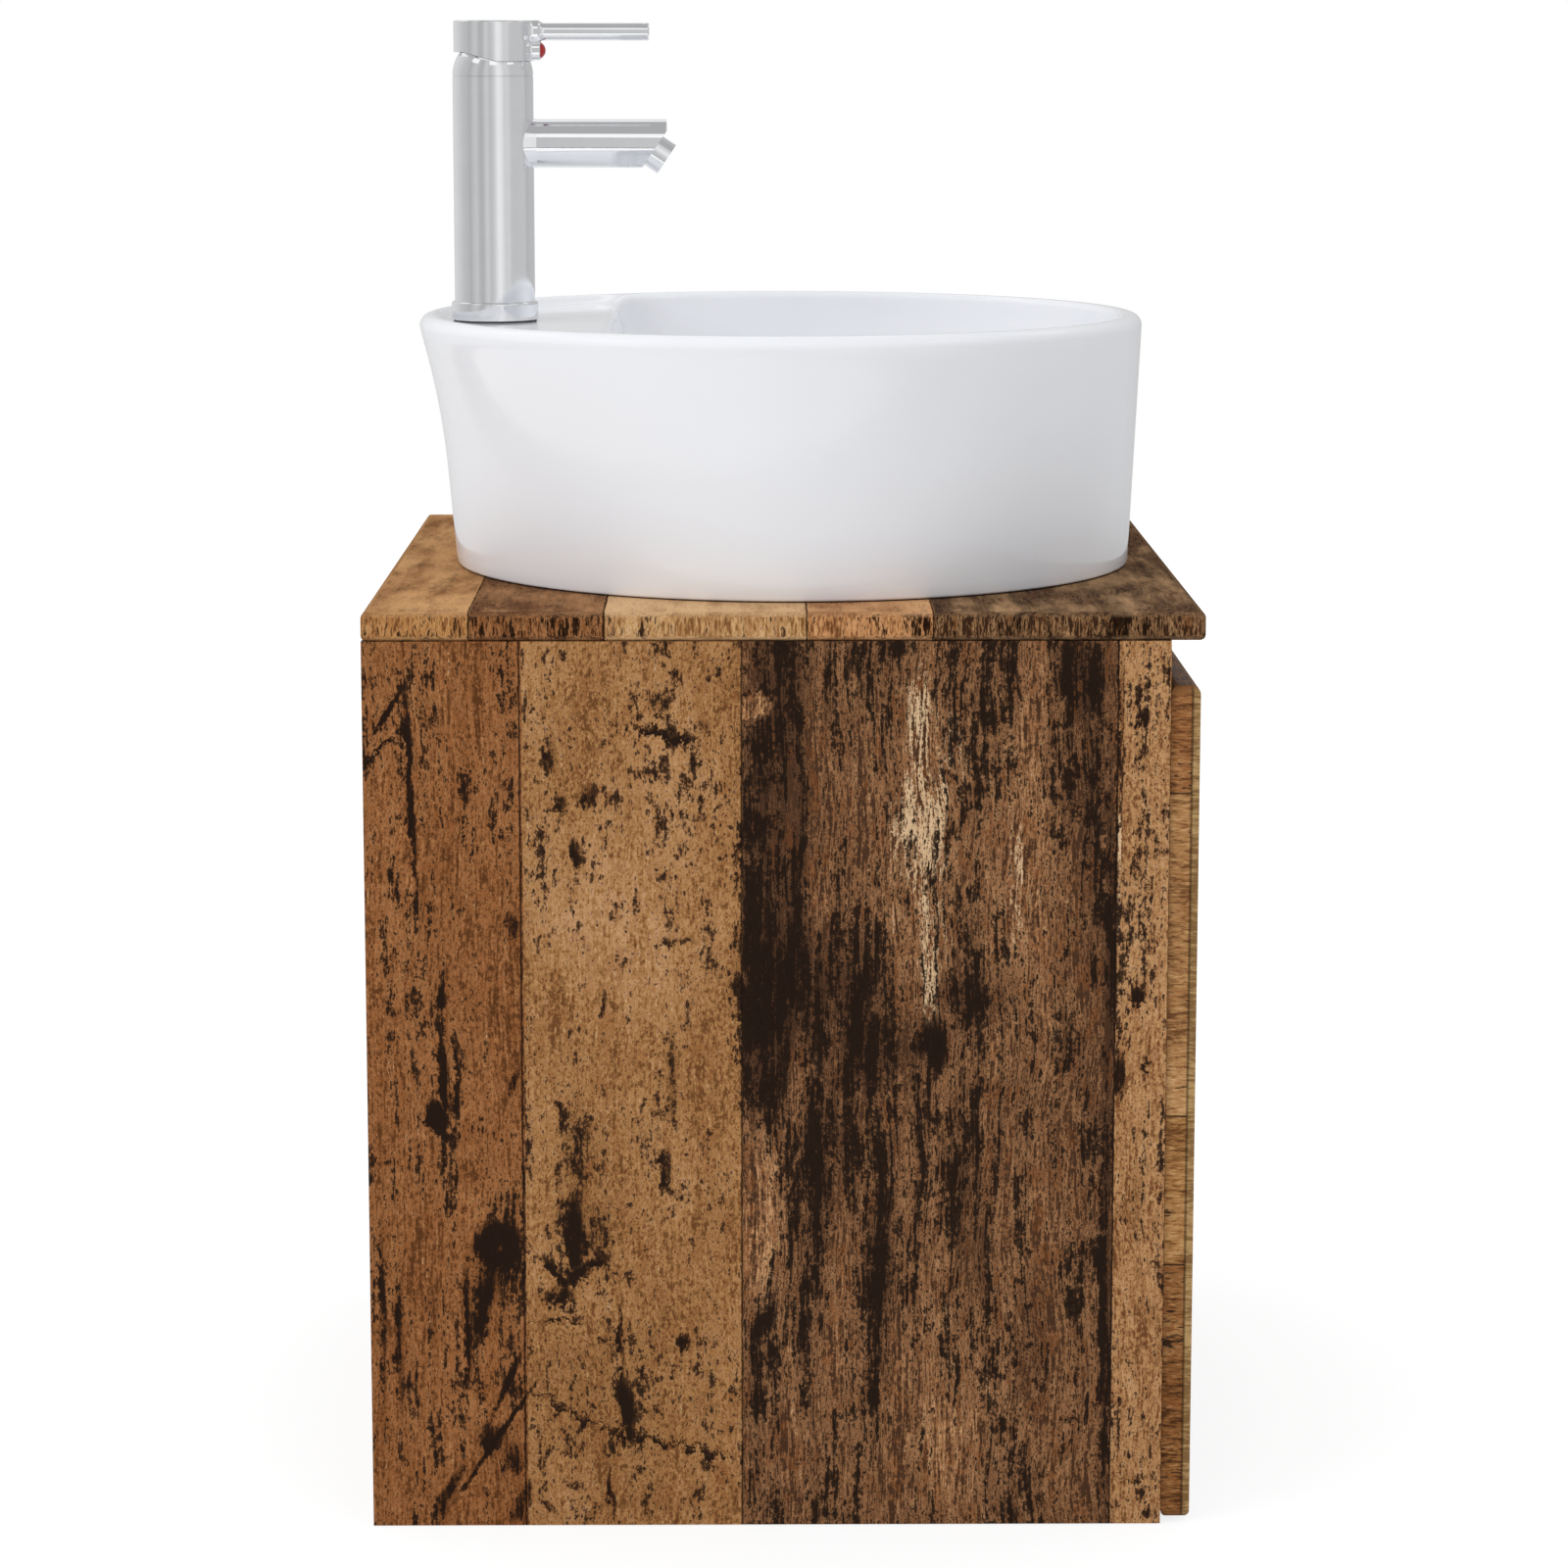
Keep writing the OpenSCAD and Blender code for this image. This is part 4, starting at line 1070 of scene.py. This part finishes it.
def chrome(name):
    """Polished chrome with faint smears."""
    f = Finish(name)
    where = f.place()
    bright = chosen("chrome")
    smear = f.noise(where, 3.0, 0.6, 0.06)
    fine = f.noise(where, 2.0, 0.6, 1.1)
    return f.surface(
        Base_Color=f.blend(f.ease(smear, 0.35, 0.7), bright, shade(bright, 0.97)),
        Metallic=1.0,
        Roughness=f.ease(smear + fine * 0.25, 0.45, 0.8, 0.03, 0.07),
        Normal=f.bump(fine + smear, 0.05 * MM, 0.15),
    )


def plain(name, base, rough, grain, depth, metallic=0.0, right=None):
    """A finish of one colour with a fine grain: castings, plastics, rubber and plating.
    rough is the roughness from its smoothest to its roughest place, grain the spots to a
    millimetre, and right another colour for what lies on the washstand's right."""
    f = Finish(name)
    where = f.place()
    coarse = f.noise(where, 3.0, 0.6, grain * 0.12)
    fine = f.noise(where, 2.0, 0.6, grain)
    level = coarse * 0.6 + fine * 0.4
    body = f.blend(f.ease(level, 0.35, 0.6), shade(base, 0.78), base)
    if right:
        body = f.blend(f.ease(where.part(0), -0.1, 0.1), body, right)
    return f.surface(
        Base_Color=body,
        Metallic=metallic,
        Roughness=f.ease(level, 0.35, 0.65, *rough),
        Normal=f.bump(level, depth, 0.4),
    )


# The cap's radius, and the hollow curves on it: each one's name, how far its axis lies below
# the cap's top, the radius of what grows out there and the radius of the ball that leaves it
CAP_RADIUS = 20.0 * MM
CAP_ROOTS = (
    ("lever_neck_root", 5.7 * MM, 6.3 * MM, 3.4 * MM),
    ("index_seat_root", 15.2 * MM, 5.2 * MM, 1.6 * MM),
)


class TapOperator(bpy.types.Operator):
    """Gives the tap its chrome, its index button and its inner parts their finishes"""

    bl_idname = "washstand.tap"
    bl_label = "Tap"

    def root(self, context, name, drop, radius, ball):
        """The hollow curve, as a ball would leave it, where a round neck grows out of the cap.
        Its hidden corner lies inside the metal, and it ends short of the cap's two ends."""
        turns, arc = 72, 8
        inside, short = 0.5 * MM, 0.02 * MM
        low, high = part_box("lever_handle")
        axis = Vector((0.0, high.y - CAP_RADIUS, high.z - drop))
        bm = bmesh.new()
        bmesh.ops.create_grid(bm, x_segments=turns, y_segments=arc + 2, size=0.5)
        hard = set()
        for vert in bm.verts:
            angle = (vert.co.x + 0.5) * math.tau
            step = round((vert.co.y + 0.5) * (arc + 2))
            to_neck = Vector((-math.sin(angle), 0.0, -math.cos(angle)))
            middle = -to_neck * (radius + ball)
            middle.y = -math.sqrt((CAP_RADIUS + ball) ** 2 - middle.x**2)
            to_cap = Vector((-middle.x, -middle.y, 0.0)).normalized()
            if step == arc + 1:
                vert.co = -to_neck * (radius - inside)
                vert.co.y = -math.sqrt((CAP_RADIUS - inside) ** 2 - vert.co.x**2)
            else:
                vert.co = middle + to_neck.slerp(to_cap, step % (arc + 2) / arc) * ball
            vert.co += axis
            if step == 0 or step >= arc:
                hard.add(vert)
        for edge in bm.edges:
            edge.smooth = not hard.issuperset(edge.verts)
        bmesh.ops.remove_doubles(bm, verts=bm.verts, dist=0.001 * MM)
        for face in bm.faces:
            face.smooth = True
        for level, way in ((high.z, 1.0), (low.z, -1.0)):
            cut = bmesh.ops.bisect_plane(
                bm,
                geom=bm.verts[:] + bm.edges[:] + bm.faces[:],
                plane_co=(0.0, 0.0, level - way * short),
                plane_no=(0.0, 0.0, way),
                clear_outer=True,
            )
            rim = [e for e in cut["geom_cut"] if isinstance(e, bmesh.types.BMEdge)]
            for edge in rim:
                edge.smooth = False
            bmesh.ops.holes_fill(bm, edges=rim)
        bmesh.ops.recalc_face_normals(bm, faces=bm.faces)
        piece = as_object(context, name, bm)
        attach(piece, "tap_lever")
        return piece

    def execute(self, context):
        bright = chrome("chrome")
        for curve in CAP_ROOTS:
            self.root(context, *curve).data.materials.append(bright)
        wear(bright, "tap_base_ring", "tap_body", "cartridge_cover", "aerator", "lever_handle")
        hot, cold = tone("B0201C"), tone("1F4FA0")
        index = plain("index_plastic", hot, (0.22, 0.32), 1.2, 0.04 * MM, right=cold)
        white = plain("cartridge_plastic", tone("E6E4DC"), (0.4, 0.5), 1.0, 0.05 * MM)
        grey = plain("turret_plastic", tone("D8D5CA"), (0.4, 0.5), 1.0, 0.05 * MM)
        steel = plain("stem_steel", tone("8F9296"), (0.25, 0.4), 1.0, 0.04 * MM, metallic=1.0)
        wear(index, "index_button")
        wear(white, "cartridge")
        wear(grey, "cartridge_turret")
        wear(steel, "cartridge_stem")
        return {"FINISHED"}


class DrainOperator(bpy.types.Operator):
    """Finishes the waste and the trap"""

    bl_idname = "washstand.drain"
    bl_label = "Waste and trap"

    def execute(self, context):
        wear(
            chrome("trap_chrome"), "waste_body", "waste_plug", "trap_inlet_nut",
            "trap_inlet_pipe", "trap_body", "trap_cup", "trap_outlet_pipe",
        )
        return {"FINISHED"}


class FittingsOperator(bpy.types.Operator):
    """Finishes the slides, screws, cams, nuts, seals and dowels"""

    bl_idname = "washstand.fittings"
    bl_label = "Fittings"

    def execute(self, context):
        zinc = plain("zinc_steel", chosen("zinc"), (0.24, 0.42), 0.6, 0.04 * MM, metallic=1.0)
        brass = plain("brass", chosen("brass"), (0.2, 0.36), 0.8, 0.04 * MM, metallic=1.0)
        rubber = plain("rubber", tone("3A3A3C"), (0.6, 0.75), 1.4, 0.1 * MM)
        dowel = plain("dowel_wood", tone("C9A877"), (0.55, 0.7), 0.9, 0.1 * MM)
        wear(
            zinc, "cam_discs", "cam_bolts", "slide_screws_cabinet", "slide_screws_drawer",
            "drawer_front_screws", "tap_stud", "horseshoe_plate", "handle_grub_screw",
        )
        for part in (
            "slide_outer", "slide_middle", "slide_inner", "ball_cage_outer", "ball_cage_inner",
        ):
            wear(zinc, part + "_left", part + "_right")
        wear(brass, "tap_nut", "cartridge_nut", "waste_nut")
        wear(rubber, "basin_seal", "tap_gasket", "horseshoe_gasket", "waste_gasket")
        wear(dowel, "wood_dowels")
        return {"FINISHED"}


# ---------- panel ----------


class WashstandPanel(bpy.types.Panel):
    """Shows the settings and a button for each step"""

    bl_idname = "VIEW3D_PT_washstand"
    bl_label = "Washstand"
    bl_space_type = "VIEW_3D"
    bl_region_type = "UI"
    bl_category = "Washstand"

    def draw(self, context):
        for settings in (context.scene.washstand_sizes, context.scene.washstand_colours):
            box = self.layout.box()
            for name in settings.__annotations__:
                box.prop(settings, name)
        for step in STEPS:
            self.layout.operator(step.bl_idname)


STEPS = (
    StageOperator, BoardsOperator, DrawerBoxOperator, BasinOperator, TapOperator,
    DrainOperator, FittingsOperator,
)
CLASSES = (WashstandSizes, WashstandColours, *STEPS, WashstandPanel)


def register():
    for made in CLASSES:
        bpy.utils.register_class(made)
    bpy.types.Scene.washstand_sizes = bpy.props.PointerProperty(type=WashstandSizes)
    bpy.types.Scene.washstand_colours = bpy.props.PointerProperty(type=WashstandColours)


def unregister():
    del bpy.types.Scene.washstand_colours
    del bpy.types.Scene.washstand_sizes
    for made in reversed(CLASSES):
        bpy.utils.unregister_class(made)


def main():
    register()
    bpy.ops.washstand.stage()
    bpy.ops.washstand.boards()
    bpy.ops.washstand.drawer_box()
    bpy.ops.washstand.basin()
    bpy.ops.washstand.tap()
    bpy.ops.washstand.drain()
    bpy.ops.washstand.fittings()


if __name__ == "__main__":
    main()
